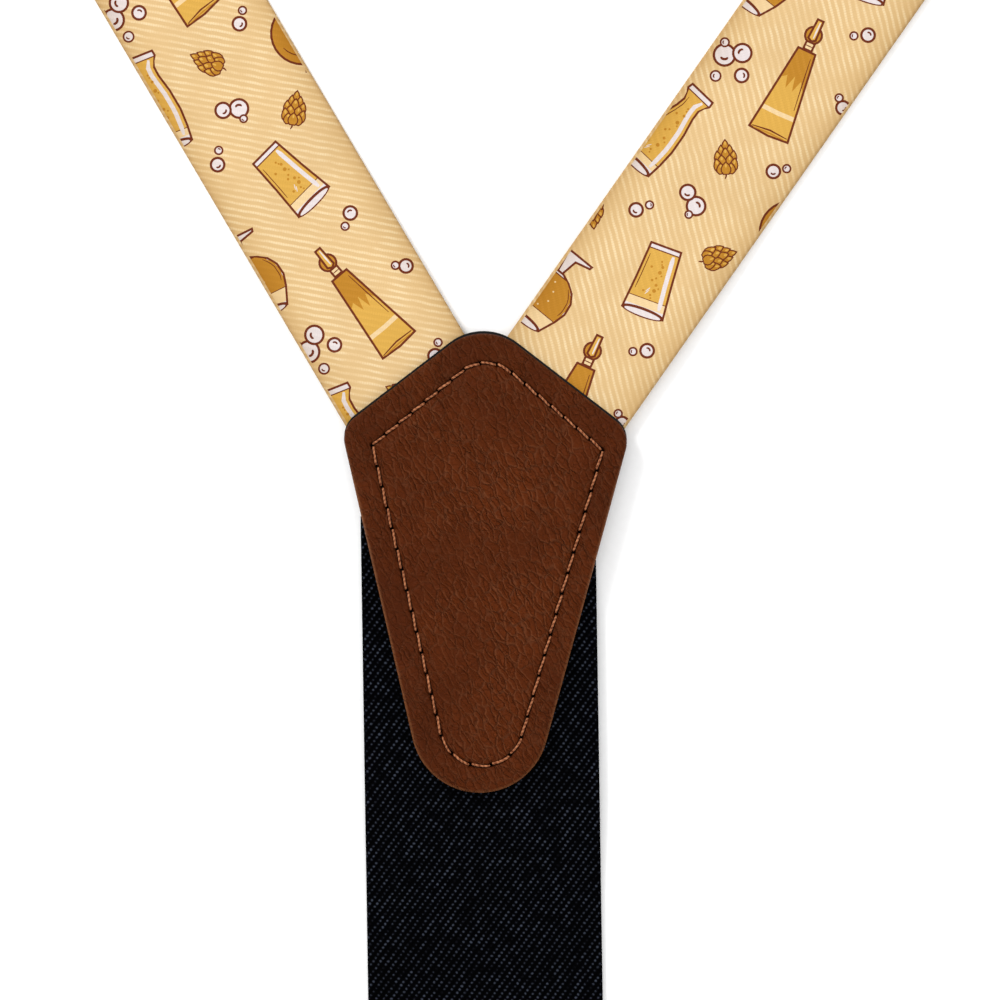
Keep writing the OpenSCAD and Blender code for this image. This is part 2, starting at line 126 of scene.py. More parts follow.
def lay_of(side):
    """The free run of a front strap from the spine line to the clip's bar, and the bar's frame."""
    sense, start, end = side["sense"], math.radians(side["start"]), math.radians(side["end"])
    edge_length = abs(end - start) * TURN_R - ROLL_LENGTH
    unroll = STRAIGHT_LENGTH + ROLL_LENGTH + edge_length
    step = 2.0

    def heading(s):
        banked = smooth_area((s - STRAIGHT_LENGTH) / ROLL_LENGTH) - smooth_area((s - unroll) / ROLL_LENGTH)
        return start + sense * banked * ROLL_LENGTH / TURN_R

    s = np.arange(0, FRONT_LENGTH + step / 2, step)
    turning = heading(s[:-1] + step / 2)
    x = np.concatenate([[0], np.cumsum(step * np.cos(turning))])
    y = side["y"] + np.concatenate([[0], np.cumsum(step * np.sin(turning))])
    h = heading(s)
    bank = BANK_MAX * (smooth((s - STRAIGHT_LENGTH) / ROLL_LENGTH) - smooth((s - unroll) / ROLL_LENGTH))
    rise = FRONT_LENGTH - ADJUSTER_Y - RISE_AWAY
    under = BACKING_T * (1 - smooth((s - YOKE_EXIT) / DROP_LENGTH))
    under = under + DECK_Z * smooth((s - rise) / DROP_LENGTH)
    zero, up = np.zeros_like(s), np.stack([0 * s, 0 * s, 0 * s + 1], axis=1)
    inner = sense * np.stack([-np.sin(h), np.cos(h), zero], axis=1)
    cos_b, sin_b = np.cos(bank)[:, None], np.sin(bank)[:, None]
    place = np.stack([x, y, under + STRAP_W / 2 * np.sin(bank) + STRAP_T / 2 * np.cos(bank)], axis=1)
    path = Path(s, place, sense * (cos_b * inner + sin_b * up), cos_b * up - sin_b * inner)
    bar = (np.array([x[-1], y[-1], 0.0]), end - math.radians(270))
    return path, bar


def profile_path(points, s0, base, across):
    """A path in the upright plane of a strap's end, through points given as (y, z, angle), where angle is
    the direction of travel above -Y. The middle of the webbing runs through the points."""
    y, z, angle = np.array(points).T
    origin, turn = base
    e_y = np.array([-math.sin(turn), math.cos(turn), 0.0])
    e_z = np.array([0.0, 0.0, 1.0])
    place = origin + y[:, None] * e_y + z[:, None] * e_z
    out = np.sin(angle)[:, None] * e_y + np.cos(angle)[:, None] * e_z
    return Path(s0 + far_along(place), place, np.repeat(across[None], len(y), axis=0), out)


def arc(y, z, r, a0, a1, steps=14):
    """Points round a bar from travel angle a0 to a1, as (y, z, angle)."""
    angles = np.linspace(math.radians(a0), math.radians(a1), steps)
    return [(y + r * math.sin(a), z + r * math.cos(a), a) for a in angles]


def end_path(path, bar):
    """The webbing from its last straight run above the clip's bar, round the bar, back along the table,
    round the adjuster's tail bar and down onto itself."""
    mid = STRAP_T / 2
    tail_y = ADJUSTER_Y + TAIL_BAR_Y
    wrap_y, wrap_r = tail_y + TAIL_BAR_HALF, TAIL_BAR_T / 2 + BAR_GAP + mid
    tail_z = STRAP_T + BAR_GAP + TAIL_BAR_T / 2
    lap = STRAP_T + LAYER_GAP + mid
    fall = math.atan2(tail_z + wrap_r - lap, 4.4)
    points = [(BAR_APPROACH, DECK_Z + mid, 0.0)]
    points += arc(0, LOOP_Z, BAR_R + BAR_GAP + mid, 0, -180)
    points += [(y, mid, -math.pi) for y in np.linspace(6, wrap_y - 3, 24)]
    points += arc(wrap_y, tail_z, wrap_r, -180, -360)
    points += [(tail_y - TAIL_BAR_HALF, tail_z + wrap_r, -2 * math.pi)]
    points += [(tail_y - 3.8, (tail_z + wrap_r + lap) / 2, fall - 2 * math.pi)]
    points += [(tail_y - 6, lap, -2 * math.pi), (tail_y - 15, lap, -2 * math.pi)]
    return profile_path(points, FRONT_LENGTH - BAR_APPROACH, bar, path.across[-1])


def joined(a, b, at):
    """Path a up to distance at, then path b."""
    keep_a, keep_b = a.s < at - 1e-6, b.s >= at - 1e-6
    kinds = ("s", "place", "across", "out")
    tables = [(getattr(a, kind)[keep_a], getattr(b, kind)[keep_b]) for kind in kinds]
    return Path(*[np.concatenate(pair) for pair in tables])


# ---------- Meshes ----------

def give(mesh, name, domain, values):
    """Stores a vector or a colour for each point or face of a mesh."""
    kind, key = ("FLOAT_VECTOR", "vector") if np.shape(values)[1] == 3 else ("FLOAT_COLOR", "color")
    layer = mesh.attributes.new(name, kind, domain)
    layer.data.foreach_set(key, np.asarray(values, np.float32).ravel())


def add_object(name, data):
    made = bpy.data.objects.new(name, data)
    bpy.context.scene.collection.objects.link(made)
    return made


def new_piece(name, points, faces, material, normals=None, face_colours=None, local=None):
    """A mesh object from points in millimetres. local is each point's own place on the flat strap."""
    mesh = bpy.data.meshes.new(name)
    mesh.from_pydata((np.asarray(points) * MM).tolist(), [], faces)
    mesh.validate()
    mesh.polygons.foreach_set("use_smooth", np.ones(len(mesh.polygons), bool))
    if local is not None:
        give(mesh, "strap_place", "POINT", local)
    if face_colours is not None:
        give(mesh, "ink", "FACE", face_colours)
    mesh.materials.append(material)
    mesh.update()
    if normals is not None:
        mesh.normals_split_custom_set_from_vertices(np.asarray(normals).tolist())
    return add_object(name, mesh)


EDGE = 0.5          # how far the rounded edge of a strap reaches beyond its flat
EDGE_TURN = [60, 30, 0, -30, -60, -90]
THINNING = 0.42     # share of its thickness that a strap loses at its edges


def crown(v, half):
    """Half thickness of a strap and its slope at v from the middle: a little thinner towards the edges."""
    x = np.abs(v) / half
    slope = -STRAP_T / 2 * THINNING * 5 * x**4 * np.sign(v) / half
    return STRAP_T / 2 * (1 - THINNING * x**5), slope


def rim_levels(side, half, flat):
    """The way round a strap's edge, from the edge of its print to its underside: (v, n) of each level and
    its outward normal. side is 1 for the left edge, -1 for the right."""
    h = crown(np.array([flat]), half)[0][0]
    turns = [(math.cos(math.radians(a)), math.sin(math.radians(a))) for a in EDGE_TURN]
    return [(side * (flat + EDGE * c), (h if s > 0 else STRAP_T / 2) * s, side * c, s) for c, s in turns]


def zipper(a, b):
    """Triangles between two rows of points, each given as a list of (distance, index)."""
    faces, i, k = [], 0, 0
    while i < len(a) - 1 or k < len(b) - 1:
        if k == len(b) - 1 or (i < len(a) - 1 and a[i + 1][0] <= b[k + 1][0]):
            faces.append([a[i][1], a[i + 1][1], b[k][1]])
            i += 1
        else:
            faces.append([a[i][1], b[k + 1][1], b[k][1]])
            k += 1
    return faces


def strip_points(path, s, v, n, nv, nn):
    """Points s along a path, v across it and n out of it, and normals that lean nv across and nn out."""
    place, across, out = path.at(s)
    points = place + v[:, None] * across + n[:, None] * out
    return points, unit(nv[:, None] * across + nn[:, None] * out)


CHUNK = 33.0        # a strap's print is cut into its mesh one chunk at a time
CUT_STEP = 0.0171   # a cut between chunks moves on by this until it is this clear of the print's own
CUT_CLEAR, ROW_CLEAR = 0.004, 0.01      # corners along the strap, and of the next crossing across it


def row_crossings(starts, ends, s, flat):
    """The places across a strap, inside its flat, where outline edges cross distance s."""
    cut = (starts[:, 0] - s) * (ends[:, 0] - s) < 0
    a, b = starts[cut], ends[cut]
    found = a[:, 1] + (s - a[:, 0]) / (b[:, 0] - a[:, 0]) * (b[:, 1] - a[:, 1])
    return found[np.abs(found) < flat]


def printed_face(s0, s1, stations, flat, layers):
    """The flat printed face of a strap as a triangle mesh with the print cut into it: its points as
    (s, v), its triangles, and each triangle's ink."""
    rows = flat * np.array([-1, -0.97, -0.92, -0.84, -0.7, -0.4, 0, 0.4, 0.7, 0.84, 0.92, 0.97, 1])
    shapes = [shape for _, shape in layers] or [np.zeros((1, 2))]
    starts = np.concatenate(shapes)
    ends = np.concatenate([np.roll(shape, -1, axis=0) for shape in shapes])
    cuts = np.linspace(s0, s1, max(1, round((s1 - s0) / CHUNK)) + 1)
    cut_rows = []
    for k in range(len(cuts)):
        for _ in range(200):
            row = np.unique(np.concatenate([rows, row_crossings(starts, ends, cuts[k], flat)]))
            clear = min(np.diff(row).min() / ROW_CLEAR, np.abs(starts[:, 0] - cuts[k]).min() / CUT_CLEAR)
            if clear > 1 or k in (0, len(cuts) - 1):
                break
            cuts[k] += CUT_STEP
        cut_rows.append(row)
    points, faces, inks, shared = [], [], [], {}
    for k in range(len(cuts) - 1):
        a, b = cuts[k], cuts[k + 1]
        verts = [(b, v) for v in cut_rows[k + 1]] + [(a, v) for v in cut_rows[k][::-1]]
        outline, edges = [list(range(len(verts)))], []
        for v in rows[1:-1]:
            edges.append((len(verts), len(verts) + 1))
            verts += [(a, v), (b, v)]
        for s in stations[(stations > a + 0.05) & (stations < b - 0.05)]:
            edges.append((len(verts), len(verts) + 1))
            verts += [(s, -flat), (s, flat)]
        tops = [BARE]
        for ink, shape in layers:
            if shape[:, 0].max() > a and shape[:, 0].min() < b:
                outline.append(list(range(len(verts), len(verts) + len(shape))))
                verts += [tuple(p) for p in shape]
                tops.append(ink)
        found = delaunay_2d_cdt([Vector((s - a, v)) for s, v in verts], edges, outline, 1, 1e-4, True)
        place = np.array([list(v) for v in found[0]]) + (a, 0)
        number = np.full(len(place), -1)
        for row, s in ((k, a), (k + 1, b)):
            on = np.where((np.abs(place[:, 0] - s) < 2e-4) & (np.abs(place[:, 1]) < flat + 2e-4))[0]
            on = on[np.argsort(place[on, 1])]
            if row in shared:
                if len(shared[row]) != len(on):
                    raise ValueError(f"the rows at {s:.2f} differ, {len(shared[row])} and {len(on)}")
                number[on] = shared[row]
            else:
                number[on] = np.arange(len(points), len(points) + len(on))
                shared[row] = number[on]
                points += place[on].tolist()
        for face, origin in zip(found[2], found[5]):
            if 0 not in origin:
                continue
            for i in face:
                if number[i] < 0:
                    number[i] = len(points)
                    points.append(place[i].tolist())
            p, q, r = (place[i] for i in face)
            turn = (q[0] - p[0]) * (r[1] - p[1]) - (q[1] - p[1]) * (r[0] - p[0])
            face = [int(number[i]) for i in face]
            faces.append(face if turn > 0 else face[::-1])
            inks.append(tops[max(origin)])
    return np.array(points), faces, inks


def strip_piece(name, path, s0, s1, stations, width, material, layers=()):
    """A closed strap. layers are the printed shapes on its top face, as (ink, points), lowest first."""
    half = width / 2
    flat = half - EDGE
    flat_verts, top_faces, inks = printed_face(s0, s1, stations, flat, layers)
    s, v = flat_verts[:, 0], flat_verts[:, 1]
    n, slope = crown(v, half)
    points, normals = strip_points(path, s, v, n, -slope, np.ones_like(n))
    local = np.stack([s, v, 0 * s], axis=1)

    def rim_of(edge):
        on = np.where(np.abs(v - edge) < 1e-3)[0]
        return on[np.argsort(s[on])]

    all_points, all_normals, all_local = [points], [normals], [local]
    made = len(points)
    faces, under, caps = list(top_faces), [], [[], []]
    for side in (1, -1):
        on = rim_of(side * flat)
        rim_s, one = s[on], np.ones(len(on))
        grid = [on]
        for lv, ln, nv, nn in rim_levels(side, half, flat):
            p, m = strip_points(path, rim_s, lv * one, ln * one, nv * one, nn * one)
            all_points.append(p)
            all_normals.append(m)
            all_local.append(np.stack([rim_s, lv * one, -one], axis=1))
            grid.append(np.arange(made, made + len(on)))
            made += len(on)
        for near, far in zip(grid[:-1], grid[1:]):
            for i in range(len(on) - 1):
                quad = [int(near[i]), int(near[i + 1]), int(far[i + 1]), int(far[i])]
                faces.append(quad if side == 1 else quad[::-1])
        under.append([(d, int(i)) for d, i in zip(rim_s, grid[-1])])
        for cap, i in zip(caps, (0, -1)):
            cap.append([int(level[i]) for level in grid[1:]])
    faces += zipper(*under)
    for (left, right), end_s, i in ((caps[0], s0, 0), (caps[1], s1, 1)):
        across = np.where(np.abs(s - end_s) < 1e-3)[0]
        across = [int(k) for k in across[np.argsort(v[across])]]
        loop = across + left + right[::-1]
        faces.append(loop if i == 0 else loop[::-1])
    colours = np.zeros((len(faces), 4))
    colours[: len(inks)] = INKS[inks]
    return new_piece(name, np.concatenate(all_points), faces, material, np.concatenate(all_normals),
                     colours, np.concatenate(all_local))


# ---------- The print: generic glasses, hops, taps and bubbles ----------

LIGHT_LEVEL = 1.4   # what a flat white face sends back under this scene's light


def shown(r, g, b):
    """The reflectance that looks like a display colour, 0 to 255, when it lies flat under the light."""
    def linear(c):
        c /= 255
        return (c / 12.92 if c <= 0.04045 else ((c + 0.055) / 1.055) ** 2.4) / LIGHT_LEVEL

    return (linear(r), linear(g), linear(b), 1.0)


BARE, LINE, AMBER, DARK, WHITE, CREAM = range(6)
INKS = np.array([
    (0, 0, 0, 0), shown(112, 38, 18), shown(232, 180, 82),
    shown(201, 138, 42), shown(243, 232, 232), shown(252, 220, 168),
])
LINE_W = 0.38
REPEAT = 65.7       # length of one repeat along the strap


def anticlockwise(points):
    x, y = points[:, 0], points[:, 1]
    return points if np.sum(x * np.roll(y, -1) - np.roll(x, -1) * y) > 0 else points[::-1]


def offset(points, d):
    """A closed outline moved outwards by d, or inwards if d is negative."""
    points = anticlockwise(np.asarray(points, float))
    along = unit(np.roll(points, -1, axis=0) - points)
    normal = np.stack([along[:, 1], -along[:, 0]], axis=1)
    before = np.roll(normal, 1, axis=0)
    spread = 1 + np.sum(normal * before, axis=1)
    return points + d * (normal + before) / np.maximum(spread, 0.45)[:, None]


def stroke(points, w):
    """An open line drawn with a pen of width w, narrower at its ends."""
    points = np.asarray(points, float)
    along = unit(np.gradient(points, axis=0))
    side = np.stack([-along[:, 1], along[:, 0]], axis=1) * w / 2
    side[[0, -1]] *= 0.55
    return np.concatenate([points + side, (points - side)[::-1]])


def ring(c, r, steps=22, stretch=1.0):
    """A circle, or an oval stretched across the strap."""
    a = np.arange(steps) * 2 * math.pi / steps
    return c + np.array([r, r * stretch]) * pointing(a)


def outlined(points, fill):
    """A filled shape under a drawn line."""
    return [(LINE, offset(points, LINE_W / 2)), (fill, offset(points, -LINE_W / 2))]


def placed(layers, at, towards):
    """A drawing made along +X, moved to start at one point and head for another."""
    d = np.array(towards, float) - at
    d /= np.linalg.norm(d)
    turn = np.array([[d[0], d[1]], [-d[1], d[0]]])
    return [(ink, np.asarray(p) @ turn + at) for ink, p in layers]


def bubble(c, r, shine):
    """A round bubble with a short curved glint that starts at angle shine."""
    a = np.radians(np.linspace(shine, shine + 120, 6))
    glint = c + 0.38 * r * pointing(a)
    half_line = 0.21 if r > 1 else 0.16
    r -= 0.1
    layers = [(LINE, ring(c, r + half_line)), (WHITE, ring(c, r - half_line))]
    return layers + [(LINE, stroke(glint, 0.2 * r + 0.08))]


def leaf(base, tip, half):
    """A pointed scale from its base to its tip."""
    base, tip = np.array(base, float), np.array(tip, float)
    upper = [(0, 0.55), (0.25, 0.95), (0.5, 0.95), (0.78, 0.58)]
    shape = np.array([(x, -y) for x, y in upper] + [(1, 0)] + upper[::-1])
    along = tip - base
    side = np.array([-along[1], along[0]]) / np.linalg.norm(along) * half
    return base + shape[:, :1] * along + shape[:, 1:] * side


# A hop's scales, tip first: base x and y, tip x and y, and half width. Those off the middle come in pairs
SCALES = [
    (3.9, 0, 5.9, 0, 0.6), (3.0, 0.7, 5.0, 0.75, 0.58), (2.6, 0, 4.5, 0, 0.66),
    (1.9, 1.15, 4.0, 1.45, 0.66), (1.3, 0.65, 3.3, 0.7, 0.78), (0.5, 1.1, 2.7, 1.65, 0.72),
    (0.1, 0.65, 1.9, 0.95, 0.85), (0.0, 0, 2.1, 0, 0.85),
]


def hop():
    """A hop cone, 5.9 long, with its stem at the origin."""
    scales = []
    for x0, y0, x1, y1, half in SCALES:
        scales += [((x0, s * y0), (x1, s * y1), half) for s in ((-1, 1) if y0 else (1,))]
    layers = [(LINE, stroke([(-0.8, 0.2), (-0.3, 0), (0.3, 0)], 0.3))]
    for k, (base, tip, half) in enumerate(scales):
        scale = leaf(base, tip, half)
        layers += [(LINE, offset(scale, 0.11)), (DARK, offset(scale, -0.1))]
        mid, end = np.array(base) * 0.45 + np.array(tip) * 0.55, np.array(base) * 0.15 + np.array(tip) * 0.85
        layers.append((AMBER, stroke([mid, (mid + end) / 2, end], 0.34 + 0.1 * (k % 2))))
    return layers


def turned(profile):
    """The outline of a turned shape from its half widths, given as (x, half width)."""
    p = np.array(profile, float)
    return np.concatenate([p * (1, -1), p[::-1]])


FIZZ = [(0.2, 0.1), (0.3, -0.35), (0.42, 0.25), (0.55, -0.1), (0.68, 0.3), (0.8, -0.3), (0.9, 0.1)]


def glass(profile, base_end, foam, rim, fill, glint_side=1):
    """A glass lying on its side, from its base at x = 0 to its open rim. profile is (x, half width)."""
    p = np.array(profile, float)
    length = p[-1, 0]

    def half_at(x):
        return np.interp(x, p[:, 0], p[:, 1])

    def part(x0, x1):
        x = np.linspace(x0, x1, 9)
        return turned(np.stack([x, np.maximum(half_at(x) - LINE_W / 2, 0.05)], axis=1))

    layers = [(LINE, offset(turned(p), LINE_W / 2)), (WHITE, offset(turned(p), -LINE_W / 2))]
    bands = [(LINE, base_end - 0.1, base_end + 0.1), (fill, base_end + 0.1, foam)]
    bands += [(LINE, foam, foam + 0.14), (CREAM, foam + 0.14, rim)]
    layers += [(ink, part(x0, x1)) for ink, x0, x1 in bands]
    x = np.linspace(base_end + 0.3, rim - 0.25, 12)
    layers.append((WHITE, stroke(np.stack([x, glint_side * (half_at(x) - 1.05)], axis=1), 0.75)))
    x = np.linspace(base_end + 1.0, foam - 1.2, 8)
    layers.append((LINE, stroke(np.stack([x, -glint_side * (half_at(x) - 0.62)], axis=1), 0.15)))
    wide = half_at(length)
    layers.append((LINE, ring((length - 0.1, 0), 0.86, 28, (wide + LINE_W / 2) / 0.86)))
    layers.append((WHITE, ring((length + 0.02, 0), 0.5, 28, (wide - 0.4) / 0.5)))
    for k, (fx, fy) in enumerate(FIZZ):
        bx = base_end + fx * (foam - base_end)
        if fill == AMBER:
            layers.append((DARK, ring((bx, 0.6 * (-1) ** k * fy * half_at(bx)), 0.2 + 0.07 * (k % 3), 8)))
            layers.append((DARK, ring((bx + 0.5, 1.2 * fy * half_at(bx)), 0.17 + 0.06 * (k % 2), 8)))
        else:
            layers.append((CREAM, ring((bx, fy * half_at(bx)), 0.16 + 0.05 * (k % 2), 8)))
    for dx in (0, 0.45):
        tick = [(foam - 2.0 + dx, -0.25), (foam - 1.2 + dx, -0.75)]
        layers.append((WHITE, stroke([tick[0], np.mean(tick, axis=0), tick[1]], 0.16)))
    return layers


def tap():
    """A beer tap: its spout's tip at the origin, its plain tapered handle along +X, 21.5 long."""
    layers = outlined(ring((2.9, -0.1), 1.45, 18), DARK)
    layers += outlined([(4.2, -0.75), (5.6, -0.75), (5.6, 0.75), (4.2, 0.75)], CREAM)
    layers.append((LINE, stroke([(4.9, -0.8), (4.9, 0), (4.9, 0.8)], 0.2)))
    layers += outlined([(0.1, -0.55), (3.6, -0.75), (4.0, 0), (3.6, 0.6), (0.1, 0.5)], AMBER)
    layers.append((WHITE, stroke([(0.5, 0.1), (2.0, 0.1), (3.4, 0.1)], 0.3)))
    body = [(5.8, -1.6), (21.4, -3.6), (21.7, 0), (21.4, 3.6), (5.8, 1.6)]
    layers += outlined(body, DARK)
    light = [(11.5, -2.1), (21.2, -3.35), (21.5, 0), (21.2, 3.35), (12.5, 2.25)]
    light += [(11.0, 1.3), (13.2, 0.6), (10.6, 0.0), (13.0, -0.7), (10.9, -1.3)]
    layers.append((AMBER, np.array(light)))
    band = [(17.0, -2.8), (17.8, -2.9), (17.9, 0), (17.8, 2.9), (17.0, 2.8), (17.1, 0)]
    layers.append((CREAM, np.array(band)))
    layers.append((LINE, stroke([(6.8, 1.15), (11.0, 1.65), (16.0, 2.3)], 0.2)))
    layers.append((LINE, stroke([(21.1, -3.2), (20.7, 0), (20.9, 3.2)], 0.3)))
    return layers + [(DARK, stroke([(21.3, -2.9), (21.2, 0), (21.25, 2.9)], 0.3))]


# Half widths of the glasses, as (x, half width)
PINT = [(0, 2.7), (6, 3.1), (11.9, 3.65)]
WEIZEN = [
    (0, 2.35), (0.9, 2.5), (1.7, 1.95), (2.7, 1.65), (4.4, 1.85),
    (7.5, 2.7), (11, 3.25), (14, 3.3), (16.6, 3.15),
]
SNIFTER_BOWL = [(4.0, 0.7), (4.7, 2.4), (5.7, 3.9), (7.2, 4.9), (9.2, 5.2), (11.2, 4.7), (14.2, 3.5)]


def snifter():
    upper = [(0, 3.7), (0.45, 3.6), (1.1, 1.0), (3.9, 0.5)]
    foot = [(x, -y) for x, y in upper] + [(4.3, 0)] + upper[::-1]
    bowl = np.array(SNIFTER_BOWL) - (4.0, 0)
    return outlined(foot, WHITE) + [(i, p + (4.0, 0)) for i, p in glass(bowl, 0.5, 7.3, 9.6, DARK, -1)]


def bulb():
    """A round glass seen at the strap's edge."""
    layers = outlined(ring((0, 0), 5.3, 30), DARK)
    layers.append((LINE, stroke(ring((0.4, 0), 4.1, 30)[8:20], 0.18)))
    return layers + outlined([(-4.3, 2.6), (-5.6, 3.4), (-6.1, 1.2), (-5.1, 0.8)], CREAM)


# The loose bubbles: u, v, radius and the angle of the glint
BUBBLES = [
    (24.8, -9.6, 0.76, 30), (23.8, -11.1, 1.25, 200), (21.4, 11.8, 0.82, 60), (21.6, 8.3, 1.66, 20),
    (19.6, 10.6, 1.92, 150), (18.4, 6.2, 1.25, 250), (15.8, 9.8, 0.97, 60), (9.8, -9.2, 0.76, 30),
    (8.1, -7.6, 1.25, 150), (-3.2, 2.3, 1.4, 140), (-4.3, -0.2, 1.68, 280), (-6.2, 0.0, 0.72, 60),
    (-10.7, 7.8, 1.25, 120), (-8.7, 6.4, 0.76, 250), (-29.3, -7.5, 1.25, 290), (-30.8, -5.6, 0.76, 60),
]


def repeat_drawing():
    """One repeat of the print, in strap coordinates: u away from the yoke, v to the left."""
    layers = placed(tap(), (33.9, 0.5), (12.6, -3.3))
    layers += placed(glass(PINT, 0.85, 9.4, 10.9, AMBER, 1), (-13.0, -0.1), (-24.7, -3.2))
    layers += placed(glass(WEIZEN, 1.0, 14.3, 15.6, AMBER, 1), (12.1, 9.9), (-4.4, 12.5))
    layers += placed(snifter(), (-22.8, 12.0), (-37.1, 13.1))
    layers += placed(bulb(), (1.3, -16.0), (9.0, -15.0))
    hops = [((3.1, -1.3), (7.7, 2.2)), ((-11.3, -6.6), (-6.9, -10.2)), ((-13.0, 15.6), (-18.8, 10.7))]
    for stem, tip in hops:
        layers += placed(hop(), stem, tip)
    for u, v, r, shine in sorted(BUBBLES, key=lambda b: -b[2]):
        layers += bubble((u, v), r, shine)
    return layers


def printed(s0, s1, phase, drift, half):
    """The print's shapes that reach onto a stretch of strap."""
    drawing, shapes = repeat_drawing(), []
    for k in range(int((s0 - phase) // REPEAT) - 1, int((s1 - phase) // REPEAT) + 2):
        for ink, p in drawing:
            p = anticlockwise(p + (phase + k * REPEAT, drift))
            if p[:, 0].max() > s0 and p[:, 0].min() < s1 and p[:, 1].max() > -half and p[:, 1].min() < half:
                shapes.append((ink, p))
    return shapes


# ---------- Materials ----------

class Shader:
    """A node material, built with short calls."""

    def __init__(self, name, **constants):
        self.material = bpy.data.materials.new(name)
        self.material.use_nodes = True
        self.tree = self.material.node_tree
        self.surface = self.tree.nodes["Principled BSDF"]
        for key, value in constants.items():
            self.surface.inputs[key.replace("_", " ")].default_value = value

    def put(self, kind, inputs=(), out=0, **settings):
        """Adds a node, sets and links its inputs, and returns one of its outputs."""
        made = self.tree.nodes.new("ShaderNode" + kind)
        for key, value in settings.items():
            setattr(made, key, value)
        for key, value in dict(inputs).items():
            if isinstance(value, bpy.types.NodeSocket):
                self.tree.links.new(value, made.inputs[key])
            else:
                made.inputs[key].default_value = value
        return made.outputs[out]

    def math(self, operation, a, b=0.0, c=0.0):
        return self.put("Math", {0: a, 1: b, 2: c}, operation=operation)

    def plus(self, a, b):
        return self.math("ADD", a, b)

    def times(self, a, b):
        return self.math("MULTIPLY", a, b)

    def mix(self, share, a, b, blend="MIX"):
        return self.put("Mix", {0: share, 6: a, 7: b}, out=2, data_type="RGBA", blend_type=blend)

    def ramp(self, value, stops):
        """A grey or coloured ramp through (position, colour) stops, where a grey is one number."""
        stepped = self.put("ValToRGB", {0: value})
        ramp = stepped.node.color_ramp
        while len(ramp.elements) < len(stops):
            ramp.elements.new(0.5)
        for element, (position, colour) in zip(ramp.elements, stops):
            if isinstance(colour, float):
                colour = (colour, colour, colour)
            element.position = position
            element.color = (*colour[:3], 1)
        return stepped

    def noise(self, vector, scale, detail=3.0, roughness=0.5, out=0):
        inputs = {"Vector": vector, "Scale": scale, "Detail": detail, "Roughness": roughness}
        return self.put("TexNoise", inputs, out)

    def place_mm(self):
        """The object's own coordinates, in millimetres."""
        place = self.put("TexCoord", out="Object")
        return self.put("VectorMath", {0: place, "Scale": 1 / MM}, operation="SCALE")

    def strap_axes(self):
        """A strap's or stitch's own place, and its first two coordinates, in millimetres."""
        place = self.put("Attribute", out="Vector", attribute_name="strap_place")
        split = self.put("SeparateXYZ", {0: place}).node
        return place, split.outputs[0], split.outputs[1]

    def wave(self, u, v, angle, period):
        """0 to 1 and back across lines that run at angle to the strap, a period apart."""
        a = math.radians(angle)
        across = self.plus(self.times(u, -math.sin(a)), self.times(v, math.cos(a)))
        turns = self.math("SINE", self.times(across, 2 * math.pi / period))
        return self.math("MULTIPLY_ADD", turns, 0.5, 0.5)

    def finished(self, colour, rough=None, *bumps):
        """The material with this colour, roughness and bumps, each (height, strength, distance in mm)."""
        sockets = {"Base Color": colour, "Roughness": rough}
        inputs = {}
        for height, strength, distance in bumps:
            inputs.update({"Height": height, "Strength": strength, "Distance": distance * MM})
            inputs["Normal"] = sockets["Normal"] = self.put("Bump", inputs)
        for key, socket in sockets.items():
            if socket is not None:
                self.tree.links.new(socket, self.surface.inputs[key])
        return self.material


def printed_webbing():
    """Beige twill under its print: a rib every 1.09 mm at 49 degrees to the strap and fine cross threads."""
    sh = Shader("printed_webbing", IOR=1.45, Specular_IOR_Level=0.03)
    place, u, v = sh.strap_axes()
    wander = sh.noise(place, 0.3, 2.0)
    v_bent = sh.plus(v, sh.times(wander, 0.7))
    ribs = sh.wave(u, v_bent, 49, 1.09)
    threads = sh.wave(u, v, -38, 0.42)
    speckle = sh.noise(place, 4.0, 3.0, 0.65)
    worn = sh.ramp(sh.noise(place, 0.22, 3.0), [(0.36, 0.45), (0.62, 1.0)])
    crest = sh.ramp(ribs, [(0.35, 0.0), (0.9, 1.0)])
    crest = sh.times(crest, sh.math("MULTIPLY_ADD", threads, 0.3, 0.7))
    crest = sh.times(crest, worn)
    weave = sh.plus(sh.times(crest, 0.75), sh.times(speckle, 0.3))
    tones = [(0.1, shown(237, 200, 143)), (0.4, shown(242, 206, 151)), (0.95, shown(254, 229, 183))]
    cloth = sh.ramp(weave, tones)
    ink = sh.put("Attribute", attribute_name="ink").node
    inked = sh.mix(sh.times(ink.outputs["Alpha"], 0.97), cloth, ink.outputs["Color"])
    thread_tone = sh.ramp(weave, [(0.1, 0.92), (0.8, 1.0)])
    inked = sh.mix(0.8, inked, thread_tone, "MULTIPLY")
    # Painted shade: the colour darkens towards both edges of the strap, where its rounded edges turn away
    # from the light.
    edge = sh.math("DIVIDE", sh.math("ABSOLUTE", v), STRAP_W / 2)
    edge_painted_shade = sh.ramp(edge, [(0.55, 1.0), (0.8, (0.93, 0.91, 0.87)), (0.93, (0.84, 0.80, 0.73)),
                               (1.0, (0.68, 0.61, 0.52))])
    toned = sh.mix(1.0, inked, edge_painted_shade, "MULTIPLY")
    cloud = sh.ramp(sh.noise(place, 0.07, 2.0), [(0.3, 0.97), (0.7, 1.02)])
    toned = sh.mix(1.0, toned, cloud, "MULTIPLY")
    rough = sh.ramp(weave, [(0.0, 0.88), (1.0, 0.7)])
    return sh.finished(toned, rough, (crest, 0.5, 0.07), (sh.plus(threads, speckle), 0.3, 0.03))


